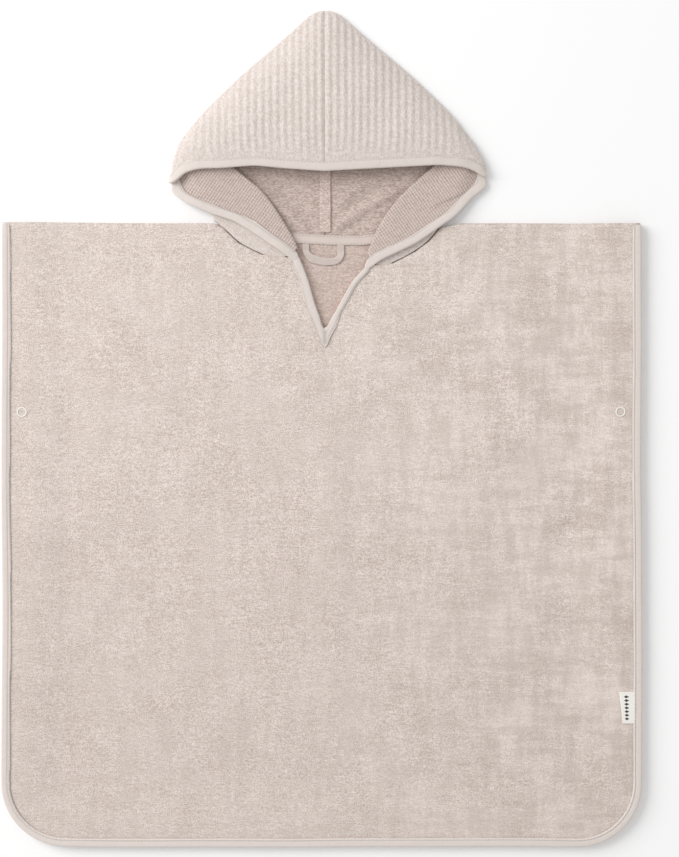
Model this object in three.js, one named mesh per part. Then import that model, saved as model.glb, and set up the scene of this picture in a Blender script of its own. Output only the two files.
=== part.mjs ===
// A hooded bath poncho in terry cloth, laid flat on its back with the hood's mouth open.
// Millimetres. X to the wearer's left, Y towards the tip of the hood, Z up from the table.
// Until the last lines, Y is measured up from the shoulder line and X from the body's middle.

import * as THREE from 'three';

const { clamp, degToRad, lerp, smoothstep } = THREE.MathUtils;

// Body
const BODY_WIDTH = 598;
const BODY_LENGTH = 583;
const CORNER_RADIUS = 60;
const BODY_CLOTH = 1.8;

// Hood
const HOOD_CLOTH = 1.6;
const HOOD_MIDDLE = 3.1;
const RIBS_PER_SIDE = 19;
const RIB_HEIGHT = 0.9;
const SEAM_HALF_GAP = 0.25;
const PLEAT_LEVEL = 4.2;
const LAPEL_LEVEL = 7.6;
const CONTOUR_LEVEL = 3.6;
const CORNER_LEVEL = 2.5;
const HOOD_BULGE = 5;

// Tape, used for every binding
const TAPE = 1;
const TAPE_WIDTH = 8.6;
const TAPE_GAP = 0.35;
const NOSE = TAPE_GAP + TAPE;

// Heights of the middle of each body panel's cloth
const BACK_LEVEL = BODY_CLOTH / 2;
const FRONT_LEVEL = 3;
const BOUND_HALF = BODY_CLOTH / 2 + TAPE_GAP + TAPE;
const BACK_EDGE_LEVEL = BOUND_HALF;
const FRONT_EDGE_LEVEL = 3 * BOUND_HALF + 0.3;
const NECK_LEVEL = 4.4;
const RAISED_BORDER = 26;
const FLAT_BY = 62;

// Snaps
const SNAP_INSET = 19.5;
const SNAP_DROP = 176.7;
const SNAP_RADIUS = 4.7;
const SNAP_HOLE = 2.5;
const SNAP_SHELL = 4.4;
const SNAP_RING = 1;
const SNAP_AIR = 0.3;

// Label
const LABEL = { width: 11, length: 29.5, top: -439, thickness: 1, inset: 8.9, lean: 1.6 };

const materials = {
  terry: new THREE.MeshStandardMaterial({ color: 0xd6c8be, roughness: 0.95, metalness: 0 }),
  ribbed: new THREE.MeshStandardMaterial({ color: 0xd9cbc2, roughness: 0.95, metalness: 0 }),
  tape: new THREE.MeshStandardMaterial({ color: 0xded4ce, roughness: 0.85, metalness: 0 }),
  label: new THREE.MeshStandardMaterial({ color: 0xf0ece6, roughness: 0.7, metalness: 0 }),
  snap: new THREE.MeshStandardMaterial({ color: 0xeeeae4, roughness: 0.4, metalness: 0 }),
};

// Outlines of the two hood panels as they lie, out from the hood's centre seam and up from
// the shoulder line.
// contour is where the cloth turns from the upper layer to the lower one; the mouth's corner ends it.
// roll is the inner edge of the turned-out lapel, fold the hidden one below it, and edge the bound edge.
const HOOD = {
  left: {
    contour: [
      { out: 0.25, up: 197.3 }, { out: 6, up: 196.8 }, { out: 12.5, up: 193.5 }, { out: 21, up: 185.5 },
      { out: 46, up: 163 }, { out: 77, up: 136.5 }, { out: 104, up: 110.5 }, { out: 122, up: 92.5 },
      { out: 131, up: 80 }, { out: 136.4, up: 66 }, { out: 141, up: 52 }, { out: 143.6, up: 37.5 },
    ],
    band: [
      { out: 0, up: 48.7 }, { out: 38, up: 51 }, { out: 66, up: 53.5 }, { out: 98, up: 51.2 },
      { out: 118, up: 51.3 }, { out: 132, up: 47.5 }, { out: 143.6, up: 37.5 },
    ],
    roll: [
      { out: 116, up: 80 }, { out: 112, up: 75 }, { out: 105, up: 69 }, { out: 97, up: 61 },
      { out: 88, up: 53.5 }, { out: 80, up: 46.5 }, { out: 71, up: 39.5 }, { out: 66, up: 35.5 },
      { out: 61, up: 31.5 }, { out: 53, up: 22 }, { out: 45, up: 10.5 }, { out: 39, up: 1 },
      { out: 33.5, up: -8 }, { out: 28.5, up: -17 }, { out: 25.2, up: -25 },
    ],
    fold: [
      { out: 122, up: 80 }, { out: 122.5, up: 72 }, { out: 123.5, up: 64 }, { out: 125, up: 56 },
      { out: 125.5, up: 49 }, { out: 125, up: 43 }, { out: 122.5, up: 37.5 }, { out: 119, up: 32.5 },
      { out: 115.5, up: 28 }, { out: 112, up: 23.5 }, { out: 109, up: 18.5 }, { out: 107, up: 13.5 },
      { out: 105.5, up: 9 }, { out: 104.5, up: 5.5 }, { out: 104, up: 2 },
    ],
    edge: [
      { out: 141.2, up: 29.5, high: 2.8 }, { out: 134.8, up: 23, high: 5.5 },
      { out: 122.8, up: 16.8, high: 7.6 }, { out: 104.5, up: 8.6, high: 7.6 },
      { out: 87, up: 4.3, high: 7.6 }, { out: 66, up: -8.2, high: 7.6 },
      { out: 48.5, up: -20.3, high: 7.6 }, { out: 29.5, up: -32, high: 7.6 },
    ],
    neck: [
      { out: 104, up: 2 }, { out: 95, up: -5 }, { out: 81, up: -18 }, { out: 60, up: -28.5 },
      { out: 41, up: -35 }, { out: 25.2, up: -38 },
    ],
    slit: [
      { out: 23.2, up: -38.5 }, { out: 16.7, up: -51.9 }, { out: 10.2, up: -76.9 }, { out: 0.9, up: -101.5 },
    ],
  },
  right: {
    contour: [
      { out: 0.25, up: 197.3 }, { out: 8, up: 196.8 }, { out: 15, up: 193 }, { out: 24, up: 184.5 },
      { out: 49, up: 163 }, { out: 79.5, up: 136.5 }, { out: 106.5, up: 110.5 }, { out: 124.5, up: 92.5 },
      { out: 132.5, up: 80 }, { out: 139.5, up: 66 }, { out: 146.5, up: 54 }, { out: 149.6, up: 44 },
    ],
    band: [
      { out: 0, up: 48.7 }, { out: 26, up: 50.5 }, { out: 56, up: 52.2 }, { out: 86, up: 53.8 },
      { out: 106, up: 54.8 }, { out: 134, up: 52.8 }, { out: 149.6, up: 44 },
    ],
    roll: [
      { out: 122, up: 80 }, { out: 118, up: 74 }, { out: 113, up: 67 }, { out: 107, up: 60 },
      { out: 101, up: 52.5 }, { out: 93, up: 45.5 }, { out: 84, up: 37.5 }, { out: 79, up: 33 },
      { out: 74, up: 28 }, { out: 65, up: 18.5 }, { out: 57.5, up: 8 }, { out: 51.5, up: -2 },
      { out: 47, up: -11 }, { out: 43.5, up: -20 }, { out: 39.5, up: -29.5 },
    ],
    fold: [
      { out: 127, up: 80 }, { out: 127.5, up: 72 }, { out: 128.5, up: 64 }, { out: 129.5, up: 57 },
      { out: 130, up: 51 }, { out: 129.5, up: 45.5 }, { out: 127.5, up: 40 }, { out: 124.5, up: 34 },
      { out: 121.5, up: 28.5 }, { out: 118, up: 22.5 }, { out: 115, up: 16.5 }, { out: 112.5, up: 11 },
      { out: 110.5, up: 5.5 }, { out: 109, up: 0.5 }, { out: 108, up: -4 },
    ],
    edge: [
      { out: 147, up: 35.5, high: 2.8 }, { out: 138, up: 26, high: 4.6 },
      { out: 121, up: 6.5, high: 7.6 }, { out: 109.5, up: -0.5, high: 7.6 },
      { out: 86.5, up: -17.3, high: 7.6 }, { out: 66, up: -27, high: 7.6 },
      { out: 51, up: -34, high: 7.6 }, { out: 40.5, up: -40.5, high: 7.6 },
    ],
    neck: [
      { out: 108, up: -4 }, { out: 98, up: -16 }, { out: 84, up: -26.5 }, { out: 64, up: -37 },
      { out: 50, up: -43.5 }, { out: 39.5, up: -47 },
    ],
    slit: [
      { out: 35, up: -46.5 }, { out: 26.6, up: -54.5 }, { out: 11, up: -83.8 }, { out: 0.9, up: -101.5 },
    ],
  },
};

// Height of the hood's upper layer along its bound edge, out from the centre seam.
const BAND_HEIGHT = [
  { out: 0, high: 16 }, { out: 60, high: 15.5 }, { out: 100, high: 14.5 }, { out: 125, high: 12.6 },
  { out: 140, high: 9.6 }, { out: 152, high: 7.2 },
];

const NAPE = -16.4;
const PLEAT_START = 80;
const PAST_FOLD = 3;
const UNDER_TAPE = 9.4;

// Reads a table along one column and returns another, with straight lines between its rows.
function lookup(table, key, at, value) {
  const rising = table[table.length - 1][key] > table[0][key];
  let row = 0;
  while (row < table.length - 2 && (rising ? table[row + 1][key] < at : table[row + 1][key] > at)) {
    row += 1;
  }
  const [a, b] = [table[row], table[row + 1]];
  const share = clamp((at - a[key]) / (b[key] - a[key]), 0, 1);
  return lerp(a[value], b[value], share);
}

// A point of cloth: x, y, z of the cloth's middle, and how far its outer face is raised there.
function knot(x, y, z, raised = 0) {
  return new THREE.Vector4(x, y, z, raised);
}

function between(a, b, share) {
  return a.clone().lerp(b, share);
}

// A sheet of cloth, built from runs of points and then given its thickness on both sides.
class Cloth {
  constructor(thickness) {
    this.half = thickness / 2;
    this.points = [];
    this.triangles = [];
    this.known = new Map();
  }

  index(point) {
    const key = [point.x, point.y, point.z].map((value) => value.toFixed(3)).join(' ');
    if (!this.known.has(key)) {
      this.known.set(key, this.points.length);
      this.points.push(point);
    }
    return this.known.get(key);
  }

  triangle(a, b, c) {
    const corners = [this.index(a), this.index(b), this.index(c)];
    if (new Set(corners).size === 3) {
      this.triangles.push(corners);
    }
  }

  // Joins two runs of points; with the first above the second, the outer face looks the same way as
  // a page whose lines are read from the first run's start to its end, seen from behind.
  strip(first, second) {
    const shares = [first, second].map((run) => (
      first.length === second.length ? run.map((_, i) => i / (run.length - 1)) : lengthShares(run)
    ));
    let i = 0;
    let j = 0;
    while (i < first.length - 1 || j < second.length - 1) {
      const nextFirst = i < first.length - 1 ? shares[0][i + 1] : 2;
      const nextSecond = j < second.length - 1 ? shares[1][j + 1] : 2;
      if (nextFirst <= nextSecond) {
        this.triangle(first[i], first[i + 1], second[j]);
        i += 1;
      } else {
        this.triangle(first[i], second[j + 1], second[j]);
        j += 1;
      }
    }
  }

  strips(runs) {
    for (let i = 0; i < runs.length - 1; i += 1) {
      this.strip(runs[i], runs[i + 1]);
    }
  }

  normals() {
    const sums = this.points.map(() => new THREE.Vector3());
    for (const corners of this.triangles) {
      const [a, b, c] = corners.map((i) => place(this.points[i]));
      const face = b.clone().sub(a).cross(c.clone().sub(a)).normalize();
      const places = [a, b, c];
      corners.forEach((corner, i) => {
        const toNext = places[(i + 1) % 3].clone().sub(places[i]);
        const toLast = places[(i + 2) % 3].clone().sub(places[i]);
        sums[corner].addScaledVector(face, toNext.angleTo(toLast));
      });
    }
    return sums.map((sum) => sum.normalize());
  }

  // The closed wall: outer and inner faces, and a rim round every free edge.
  geometry(mirrored = false) {
    const normals = this.normals();
    const count = this.points.length;
    const outer = this.points.map((p, i) => place(p).addScaledVector(normals[i], this.half + p.w));
    const inner = this.points.map((p, i) => place(p).addScaledVector(normals[i], -this.half));
    const faces = [];
    const free = new Map();
    for (const [a, b, c] of this.triangles) {
      faces.push([a, b, c], [c + count, b + count, a + count]);
      for (const [from, to] of [[a, b], [b, c], [c, a]]) {
        if (!free.delete(`${to} ${from}`)) {
          free.set(`${from} ${to}`, [from, to]);
        }
      }
    }
    for (const [from, to] of free.values()) {
      faces.push([from, from + count, to + count], [from, to + count, to]);
    }
    const places = [...outer, ...inner];
    if (mirrored) {
      places.forEach((p) => p.setX(-p.x));
      faces.forEach((face) => face.reverse());
    }
    const geometry = new THREE.BufferGeometry();
    const values = places.flatMap((p) => p.toArray());
    geometry.setAttribute('position', new THREE.Float32BufferAttribute(values, 3));
    geometry.setIndex(faces.flat());
    geometry.computeVertexNormals();
    return geometry;
  }
}

function place(point) {
  return new THREE.Vector3(point.x, point.y, point.z);
}

function apart(a, b) {
  return place(a).distanceTo(place(b));
}

function lengthShares(run) {
  const along = [0];
  for (let i = 1; i < run.length; i += 1) {
    along.push(along[i - 1] + apart(run[i], run[i - 1]));
  }
  const whole = along[along.length - 1] || 1;
  return along.map((length) => length / whole);
}

// Points spread evenly from a to b, without a itself.
function onward(a, b, steps) {
  return Array.from({ length: steps }, (_, i) => between(a, b, (i + 1) / steps));
}

// Half a turn of cloth from one level to the next, bulging along ahead (a direction in the plane).
// Both ends are left out; three points in between make four facets.
function turn(at, ahead, from, to) {
  const radius = Math.abs(to - from) / 2;
  return [-45, 0, 45].map((degrees) => {
    const angle = degToRad(degrees);
    const reach = radius * Math.cos(angle);
    const high = (from + to) / 2 + ((to - from) / 2) * Math.sin(angle);
    return knot(at.out + ahead.x * reach, at.up + ahead.y * reach, high);
  });
}

function direction(from, to) {
  return new THREE.Vector2(to.out - from.out, to.up - from.up).normalize();
}

// The upper layer's height at a point out from the seam, at a share of the way down to the bound edge.
function upperHeight(out, share) {
  const band = lookup(BAND_HEIGHT, 'out', out, 'high');
  const bulge = HOOD_BULGE * Math.max(0, 1 - (out / 140) ** 2) * Math.sin(Math.PI * share);
  return CONTOUR_LEVEL + (band - CONTOUR_LEVEL) * Math.sqrt(share) + bulge;
}

const ROWS = [0, 0.18, 0.38, 0.6, 0.8, 1];
const BORDER = 10;
const COLUMNS = RIBS_PER_SIDE * 2;

// The upper layer as columns from the contour down to the bound edge. Every second one is a rib.
function upperColumns(side) {
  const widest = lookup(side.contour, 'up', PLEAT_START, 'out');
  const mouth = side.contour[side.contour.length - 1].out;
  return Array.from({ length: COLUMNS + 1 }, (_, k) => {
    const top = SEAM_HALF_GAP + ((widest - SEAM_HALF_GAP) * k) / COLUMNS;
    const spread = (mouth - widest) * (k / COLUMNS) ** 8;
    const raised = k % 2 && k < COLUMNS ? RIB_HEIGHT : 0;
    const upTop = lookup(side.contour, 'out', top, 'up');
    const upEdge = lookup(side.band, 'out', top + spread, 'up');
    const length = upTop - upEdge;
    const shares = [...ROWS.map((row) => (row * (length - BORDER)) / length), 1];
    return shares.map((share, row) => {
      const up = upTop - length * share;
      const bent = k === COLUMNS ? lookup(side.contour, 'up', up, 'out') : top + spread * share ** 1.5;
      return knot(bent, up, upperHeight(bent, share), row < ROWS.length - 1 ? raised : 0);
    });
  });
}

const PLEAT_STEPS = 5;

// How far the pleat's points lie off a straight line where they follow the front neckline.
function neckSags(side) {
  const start = side.fold[side.fold.length - 1];
  const end = side.roll[side.roll.length - 1];
  return side.neck.slice(1, PLEAT_STEPS).map((row, i) => {
    const share = (i + 1) / PLEAT_STEPS;
    const across = lerp(start.out, end.out, share);
    return knot(row.out - across, row.up - lerp(start.up, end.up, share), 0);
  });
}

// One line of the lower layer where it is pleated: under the lapel, out again, and back as the lapel.
function pleatedLine(inner, fold, roll, outer, sags) {
  const level = HOOD_CLOTH / 2;
  const radius = (PLEAT_LEVEL - level) / 2;
  const ahead = direction(inner, fold);
  const back = direction(fold, roll);
  const foldFrom = { out: fold.out - ahead.x * radius, up: fold.up - ahead.y * radius };
  const rollFrom = { out: roll.out - back.x * radius, up: roll.up - back.y * radius };
  const start = knot(inner.out, inner.up, level);
  const underEnd = knot(foldFrom.out, foldFrom.up, level);
  const pleatStart = knot(foldFrom.out, foldFrom.up, PLEAT_LEVEL);
  const pleatEnd = knot(rollFrom.out, rollFrom.up, PLEAT_LEVEL);
  const lapelStart = knot(rollFrom.out, rollFrom.up, LAPEL_LEVEL);
  const pleat = onward(pleatStart, pleatEnd, PLEAT_STEPS);
  sags.forEach((sag, i) => pleat[i].add(sag));
  return [
    start, ...onward(start, underEnd, 3), ...turn(foldFrom, ahead, level, PLEAT_LEVEL),
    pleatStart, ...pleat, ...turn(rollFrom, back, PLEAT_LEVEL, LAPEL_LEVEL),
    lapelStart, ...outer(lapelStart, fold),
  ];
}

// The lapel from the roll to its outer end. Where the end lies low, the lapel stays level until it is
// past the hidden fold below it, and then drops. Its last stretch is as wide as the tape round it.
function lapelTo(end) {
  return (start, fold) => {
    const drops = LAPEL_LEVEL - end.z > 2;
    const pastFold = Math.max(0.3, (fold.out + PAST_FOLD - start.x) / (end.x - start.x));
    const middle = between(start, end, drops ? pastFold : 0.5);
    const nearEnd = between(start, end, 1 - Math.min(0.45, UNDER_TAPE / apart(start, end)));
    if (drops) {
      middle.z = LAPEL_LEVEL;
    }
    nearEnd.z = lerp(end.z, LAPEL_LEVEL, drops ? 0.22 : 0.1);
    const inOrder = middle.x < nearEnd.x - 1;
    return [inOrder ? middle : between(start, nearEnd, 0.5), nearEnd, end];
  };
}

// One hood panel, out from its centre seams, with the line of its bound edge for the tape.
function hoodPanel(side) {
  const cloth = new Cloth(HOOD_CLOTH);
  const level = HOOD_CLOTH / 2;
  const columns = upperColumns(side);
  const last = columns[COLUMNS];

  // Lower layer above the pleat: level lines from the back seam to the contour.
  const tops = [0, 2, 4, 6, 9, 13, 17, 21, 25, 29, 33, COLUMNS].map((k) => columns[k][0]);
  const plain = tops.map((top, i) => {
    const end = knot(top.x, top.y, level);
    const steps = Math.min(i, 4);
    const start = knot(SEAM_HALF_GAP, top.y, level);
    return steps ? [start, ...onward(start, end, steps)] : [end];
  });

  // Lower layer with the pleat: first to the contour, then to the lapel's bound edge.
  const rows = ROWS.length + 1;
  const total = side.roll.length;
  const lines = Array.from({ length: total }, (_, m) => {
    const inner = { out: SEAM_HALF_GAP, up: lerp(last[0].y, NAPE, m / (total - 1)) };
    if (m === 0) {
      return plain[plain.length - 1];
    }
    const lapelEdge = side.edge[m - rows];
    const share = Math.max(0, m - rows + 1) / (total - rows);
    const sags = neckSags(side).map((sag) => sag.multiplyScalar(share ** 2));
    const end = m < rows
      ? knot(last[m].x, last[m].y, level + (CORNER_LEVEL - level) * (m / (rows - 1)))
      : knot(lapelEdge.out, lapelEdge.up, lapelEdge.high);
    return pleatedLine(inner, side.fold[m], side.roll[m], lapelTo(end), sags);
  });

  // The turn from the lower layer up to the upper one, along the contour.
  const contour = [...plain, ...lines.slice(1, rows)].map((run) => run[run.length - 1]);
  const upper = [...tops, ...last.slice(1)];
  const rails = [[], [], []];
  contour.forEach((low, i) => {
    const before = contour[Math.max(0, i - 1)];
    const after = contour[Math.min(contour.length - 1, i + 1)];
    const ahead = new THREE.Vector2(before.y - after.y, after.x - before.x).normalize();
    if (i === 0) {
      ahead.set(0, 1);
    }
    turn({ out: low.x, up: low.y }, ahead, low.z, upper[i].z).forEach((point, rail) => rails[rail].push(point));
  });

  const diagonal = tops.length;
  const upperTop = columns.map((column) => column[0]);
  cloth.strips(columns);
  cloth.strip(upperTop, rails[2].slice(0, diagonal));
  cloth.strip(last, rails[2].slice(diagonal - 1));
  cloth.strip(rails[2], rails[1]);
  cloth.strip(rails[1], rails[0]);
  cloth.strip(rails[0], contour);
  cloth.strips(plain);
  cloth.strips(lines);

  // Runs of points from the bound edge inwards: up the columns, round the corner, up the lapel's lines.
  const inwards = (run) => [...run].reverse().slice(0, 4);
  const lower = contour.slice(diagonal - 1);
  const bound = [
    ...columns.filter((_, k) => k % 2 === 0).map(inwards),
    ...[2, 1, 0].map((rail) => inwards(rails[rail])),
    inwards(lower),
    ...lines.slice(rows).map(inwards),
  ];
  return { cloth, bound };
}

// Tape folded round a bound edge. Each stop has a run of cloth points from the edge inwards; where two
// stretches of tape meet in a mitre, it also says how many times its own width the tape reaches there.
function foldedTape(stops, clothThickness) {
  const tape = new Cloth(TAPE);
  const off = clothThickness / 2 + TAPE_GAP + TAPE / 2;
  const nose = TAPE_GAP + TAPE / 2;
  const edges = stops.map(({ run }) => place(run[0]));
  tape.strips(stops.map(({ run, mitre = 1 }, i) => {
    const along = edges[Math.min(stops.length - 1, i + 1)].clone().sub(edges[Math.max(0, i - 1)]).normalize();
    const slope = place(run[1]).sub(edges[i]).normalize().cross(along).length();
    const reach = (TAPE_WIDTH - NOSE) * mitre;
    const [lip, middle] = [reach, reach / 2].map((distance) => pointAlong(run, distance / slope));
    const normalAt = (from, to) => along.clone().cross(to.clone().sub(from)).normalize();
    const lipNormal = normalAt(middle, lip);
    const middleNormal = normalAt(edges[i], lip);
    const edgeNormal = normalAt(edges[i], middle);
    const outward = along.clone().cross(edgeNormal).normalize();
    const beyond = edges[i].clone().addScaledVector(outward, nose * mitre);
    const section = [
      [lip, lipNormal, 1], [middle, middleNormal, 1], [edges[i], edgeNormal, 1], [beyond, edgeNormal, 0.7],
      [beyond, edgeNormal, -0.7], [edges[i], edgeNormal, -1], [middle, middleNormal, -1], [lip, lipNormal, -1],
    ];
    return section.map(([centre, normal, side]) => {
      const point = centre.clone().addScaledVector(normal, off * side);
      return knot(point.x, point.y, point.z);
    });
  }));
  return tape;
}

// The point at a distance along a run of points, straight on past its end.
function pointAlong(run, distance) {
  let left = distance;
  let i = 0;
  while (i < run.length - 2 && left > apart(run[i], run[i + 1])) {
    left -= apart(run[i], run[i + 1]);
    i += 1;
  }
  return place(between(run[i], run[i + 1], left / apart(run[i], run[i + 1])));
}

// Rounded outline of the body's lower part: a point at insets from the side and from the bottom.
function lowerCorner(fromSide, fromBottom) {
  const a = 1 - fromSide / CORNER_RADIUS;
  const b = 1 - fromBottom / CORNER_RADIUS;
  if (a <= 0 || b <= 0) {
    return { x: BODY_WIDTH / 2 - fromSide, y: fromBottom - BODY_LENGTH };
  }
  const ring = Math.max(a, b) * CORNER_RADIUS;
  const angle = a >= b ? (Math.PI / 4) * (b / a) : Math.PI / 2 - (Math.PI / 4) * (a / b);
  return {
    x: BODY_WIDTH / 2 - CORNER_RADIUS + ring * Math.cos(angle),
    y: CORNER_RADIUS - BODY_LENGTH - ring * Math.sin(angle),
  };
}

const EDGE_INSETS = [NOSE, 9.2, 16, RAISED_BORDER, 44, FLAT_BY];

// Columns of a body panel, each from its top down to the bottom, from one side to the other.
function bodyColumns(middles, top, height) {
  const half = BODY_WIDTH / 2;
  const sides = EDGE_INSETS.map((inset) => ({ inset, x: half - inset }));
  const stations = [
    ...sides.map(({ inset, x }) => ({ x: -x, inset, sign: -1 })),
    ...middles.map((x) => ({ x, inset: half - Math.abs(x), sign: Math.sign(x) || 1 })),
    ...[...sides].reverse().map(({ inset, x }) => ({ x, inset, sign: 1 })),
  ];
  return stations.map(({ x, inset, sign }) => {
    const tops = top(x);
    const low = FLAT_BY - BODY_LENGTH;
    const first = tops[tops.length - 1];
    const rows = [
      ...tops.map((y) => ({ x, y })),
      ...[0.12, 0.26, 0.42, 0.6, 0.8].map((share) => ({ x, y: lerp(first, low, share) })),
      ...[...EDGE_INSETS].reverse().map((fromBottom) => {
        const spot = lowerCorner(inset, fromBottom);
        return { x: sign * spot.x, y: spot.y };
      }),
    ];
    return rows.map((row) => knot(row.x, row.y, height(row.x, row.y)));
  });
}

// How far in from the bound sides and bottom a point lies.
function insetAt(x, y) {
  const half = BODY_WIDTH / 2;
  const side = half - Math.abs(x);
  const bottom = y + BODY_LENGTH;
  if (side < CORNER_RADIUS && bottom < CORNER_RADIUS) {
    return CORNER_RADIUS - Math.hypot(CORNER_RADIUS - side, CORNER_RADIUS - bottom);
  }
  return Math.min(side, bottom);
}

function backHeight(x, y) {
  return lerp(BACK_EDGE_LEVEL, BACK_LEVEL, smoothstep(insetAt(x, y), RAISED_BORDER, FLAT_BY));
}

// The front lies on the back, raised along its bound edges and round the neck, with a few low swells.
function frontHeight(x, y) {
  const border = smoothstep(insetAt(x, y), RAISED_BORDER, FLAT_BY);
  const fromNeck = Math.hypot(Math.max(0, Math.abs(x) - 95), Math.max(0, -y - 115));
  const flat = lerp(NECK_LEVEL, FRONT_LEVEL, smoothstep(fromNeck, 12, 60));
  const swell = 0.9 * border * (1 + Math.sin(x / 61 + 1.3) * Math.sin(y / 74 + 0.4));
  return lerp(FRONT_EDGE_LEVEL, flat + swell * smoothstep(fromNeck, 12, 90), border);
}

// The front panel's cut top edge: shoulders, neckline and slit.
const NECK_GAP = 0.6;
const cutTop = [
  { x: -BODY_WIDTH / 2, y: 0 },
  ...HOOD.left.neck.map((row) => ({ x: HOOD_MIDDLE - row.out, y: Math.min(0, row.up) - NECK_GAP })),
  ...HOOD.left.slit.map((row) => ({ x: HOOD_MIDDLE - row.out, y: row.up })),
  ...[...HOOD.right.slit].reverse().map((row) => ({ x: HOOD_MIDDLE + row.out, y: row.up })),
  ...[...HOOD.right.neck].reverse().map((row) => ({ x: HOOD_MIDDLE + row.out, y: row.up - NECK_GAP })),
  { x: BODY_WIDTH / 2, y: 0 },
];

function cutAt(x) {
  return lookup(cutTop, 'x', x, 'y');
}

// The cut edge a little way in, so that the cloth under the slit's tape stays level.
function cutWithin(x, reach) {
  let lowest = 0;
  for (let step = -4; step <= 4; step += 1) {
    lowest = Math.min(lowest, cutAt(x + (reach * step) / 4));
  }
  return lowest - reach / 2;
}

function frontPanel() {
  const neckStops = cutTop.slice(1, -1).map((row) => row.x);
  const middles = [-170, ...neckStops, 170];
  const tops = (x) => [cutAt(x), cutWithin(x, 9), cutWithin(x, 20)];
  const cloth = new Cloth(BODY_CLOTH);
  cloth.strips(bodyColumns(middles, tops, frontHeight));
  return cloth;
}

function backPanel() {
  const neck = [
    { x: -BODY_WIDTH / 2, y: 0 }, { x: HOOD_MIDDLE - 106, y: 0 }, { x: HOOD_MIDDLE, y: NAPE - NECK_GAP },
    { x: HOOD_MIDDLE + 110, y: -4 - NECK_GAP }, { x: 130, y: 0 }, { x: BODY_WIDTH / 2, y: 0 },
  ];
  const middles = [-170, ...neck.slice(1, -1).map((row) => row.x), 60, 200, -50].sort((a, b) => a - b);
  const tops = (x) => [lookup(neck, 'x', x, 'y'), -40];
  const cloth = new Cloth(BODY_CLOTH);
  cloth.strips(bodyColumns(middles, tops, backHeight));
  return cloth;
}

// Tape round the sides and the bottom of a body panel, from shoulder to shoulder.
function bodyTape(height) {
  const half = BODY_WIDTH / 2 - NOSE;
  const level = height(half, -300);
  const radius = CORNER_RADIUS - NOSE;
  const centre = { x: half - radius, y: radius + NOSE - BODY_LENGTH };
  const route = [-0.6, -60, -140, -240, -340, -430].map((y) => ({ x: half, y, in: [-1, 0] }));
  for (let step = 0; step <= 12; step += 1) {
    const angle = (Math.PI / 2) * (step / 12);
    const [cos, sin] = [Math.cos(angle), Math.sin(angle)];
    route.push({ x: centre.x + radius * cos, y: centre.y - radius * sin, in: [-cos, sin] });
  }
  for (const x of [150, 50]) {
    route.push({ x, y: NOSE - BODY_LENGTH, in: [0, 1] });
  }
  const mirrored = [...route].reverse().map((stop) => ({ x: -stop.x, y: stop.y, in: [-stop.in[0], stop.in[1]] }));
  const stops = [...route, ...mirrored].reverse().map((stop) => ({
    run: [knot(stop.x, stop.y, level), knot(stop.x + stop.in[0], stop.y + stop.in[1], level)],
  }));
  return foldedTape(stops, BODY_CLOTH);
}

// Tape round the slit, down its left side and up its right one, mitred at its foot.
function slitTape() {
  const left = HOOD.left.slit.slice(0, -1).map((row) => ({ x: HOOD_MIDDLE - row.out, y: row.up }));
  const right = HOOD.right.slit.slice(0, -1).map((row) => ({ x: HOOD_MIDDLE + row.out, y: row.up }));
  const foot = { x: HOOD_MIDDLE, y: HOOD.left.slit[left.length].up };
  const route = [...left, foot, ...right.reverse()];
  const stops = route.map(({ x, y }, i) => {
    const before = route[Math.max(0, i - 1)];
    const after = route[Math.min(route.length - 1, i + 1)];
    const away = new THREE.Vector2(after.y - before.y, before.x - after.x).normalize();
    if (i === left.length) {
      away.set(0, -1);
    }
    return {
      run: [knot(x, y, NECK_LEVEL), knot(x + away.x, y + away.y, NECK_LEVEL)],
      mitre: i === left.length ? 2 : 1,
    };
  });
  return foldedTape(stops, BODY_CLOTH);
}

// A flat tape or label along a route of points, each with its side direction.
function flatTape(route, width, thickness) {
  const tape = new Cloth(thickness);
  tape.strips(route.map(({ x, y, z, across }) => {
    const side = new THREE.Vector2(...across).normalize().multiplyScalar(width / 2);
    return [knot(x + side.x, y + side.y, z), knot(x, y, z), knot(x - side.x, y - side.y, z)];
  }));
  return tape;
}

const TAPE_ON_HOOD = HOOD_CLOTH + 0.3 + TAPE / 2;
const TAPE_ON_BACK = BODY_CLOTH + 0.3 + TAPE / 2;

function seamTape() {
  const stops = [150, 110, 70, 40, 10, NAPE + 8];
  return flatTape(stops.map((y) => ({ x: HOOD_MIDDLE, y, z: TAPE_ON_HOOD, across: [-1, 0] })), 10.3, TAPE);
}

function neckTape() {
  const stops = [
    { x: -96, y: -2.4 }, { x: -60, y: -8 }, { x: -28, y: -13.5 }, { x: 3, y: -15.4 },
    { x: 35, y: -16 }, { x: 62, y: -13.4 }, { x: 98, y: -8 },
  ];
  return flatTape(stops.map(({ x, y }) => ({ x, y, z: TAPE_ON_BACK, across: [0, 1] })), 9.2, TAPE);
}

function hangerLoop() {
  const half = 16.5;
  const foot = -32.5;
  const turns = 8;
  const middle = 1.5;
  const radius = 9;
  const route = [{ x: -half, y: -22.5, across: [1, 0] }];
  for (let step = 0; step <= turns; step += 1) {
    const angle = (Math.PI * step) / turns;
    const spread = half - radius;
    const x = (Math.cos(angle) > 0 ? -spread : spread) * Number(step !== turns / 2) - radius * Math.cos(angle);
    route.push({ x, y: foot - 7 * Math.sin(angle), across: [Math.cos(angle), Math.sin(angle)] });
  }
  route.push({ x: half, y: -22.8, across: [-1, 0] });
  return flatTape(route.map((stop) => ({ ...stop, x: stop.x + middle, z: TAPE_ON_BACK })), 6.5, TAPE);
}

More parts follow.
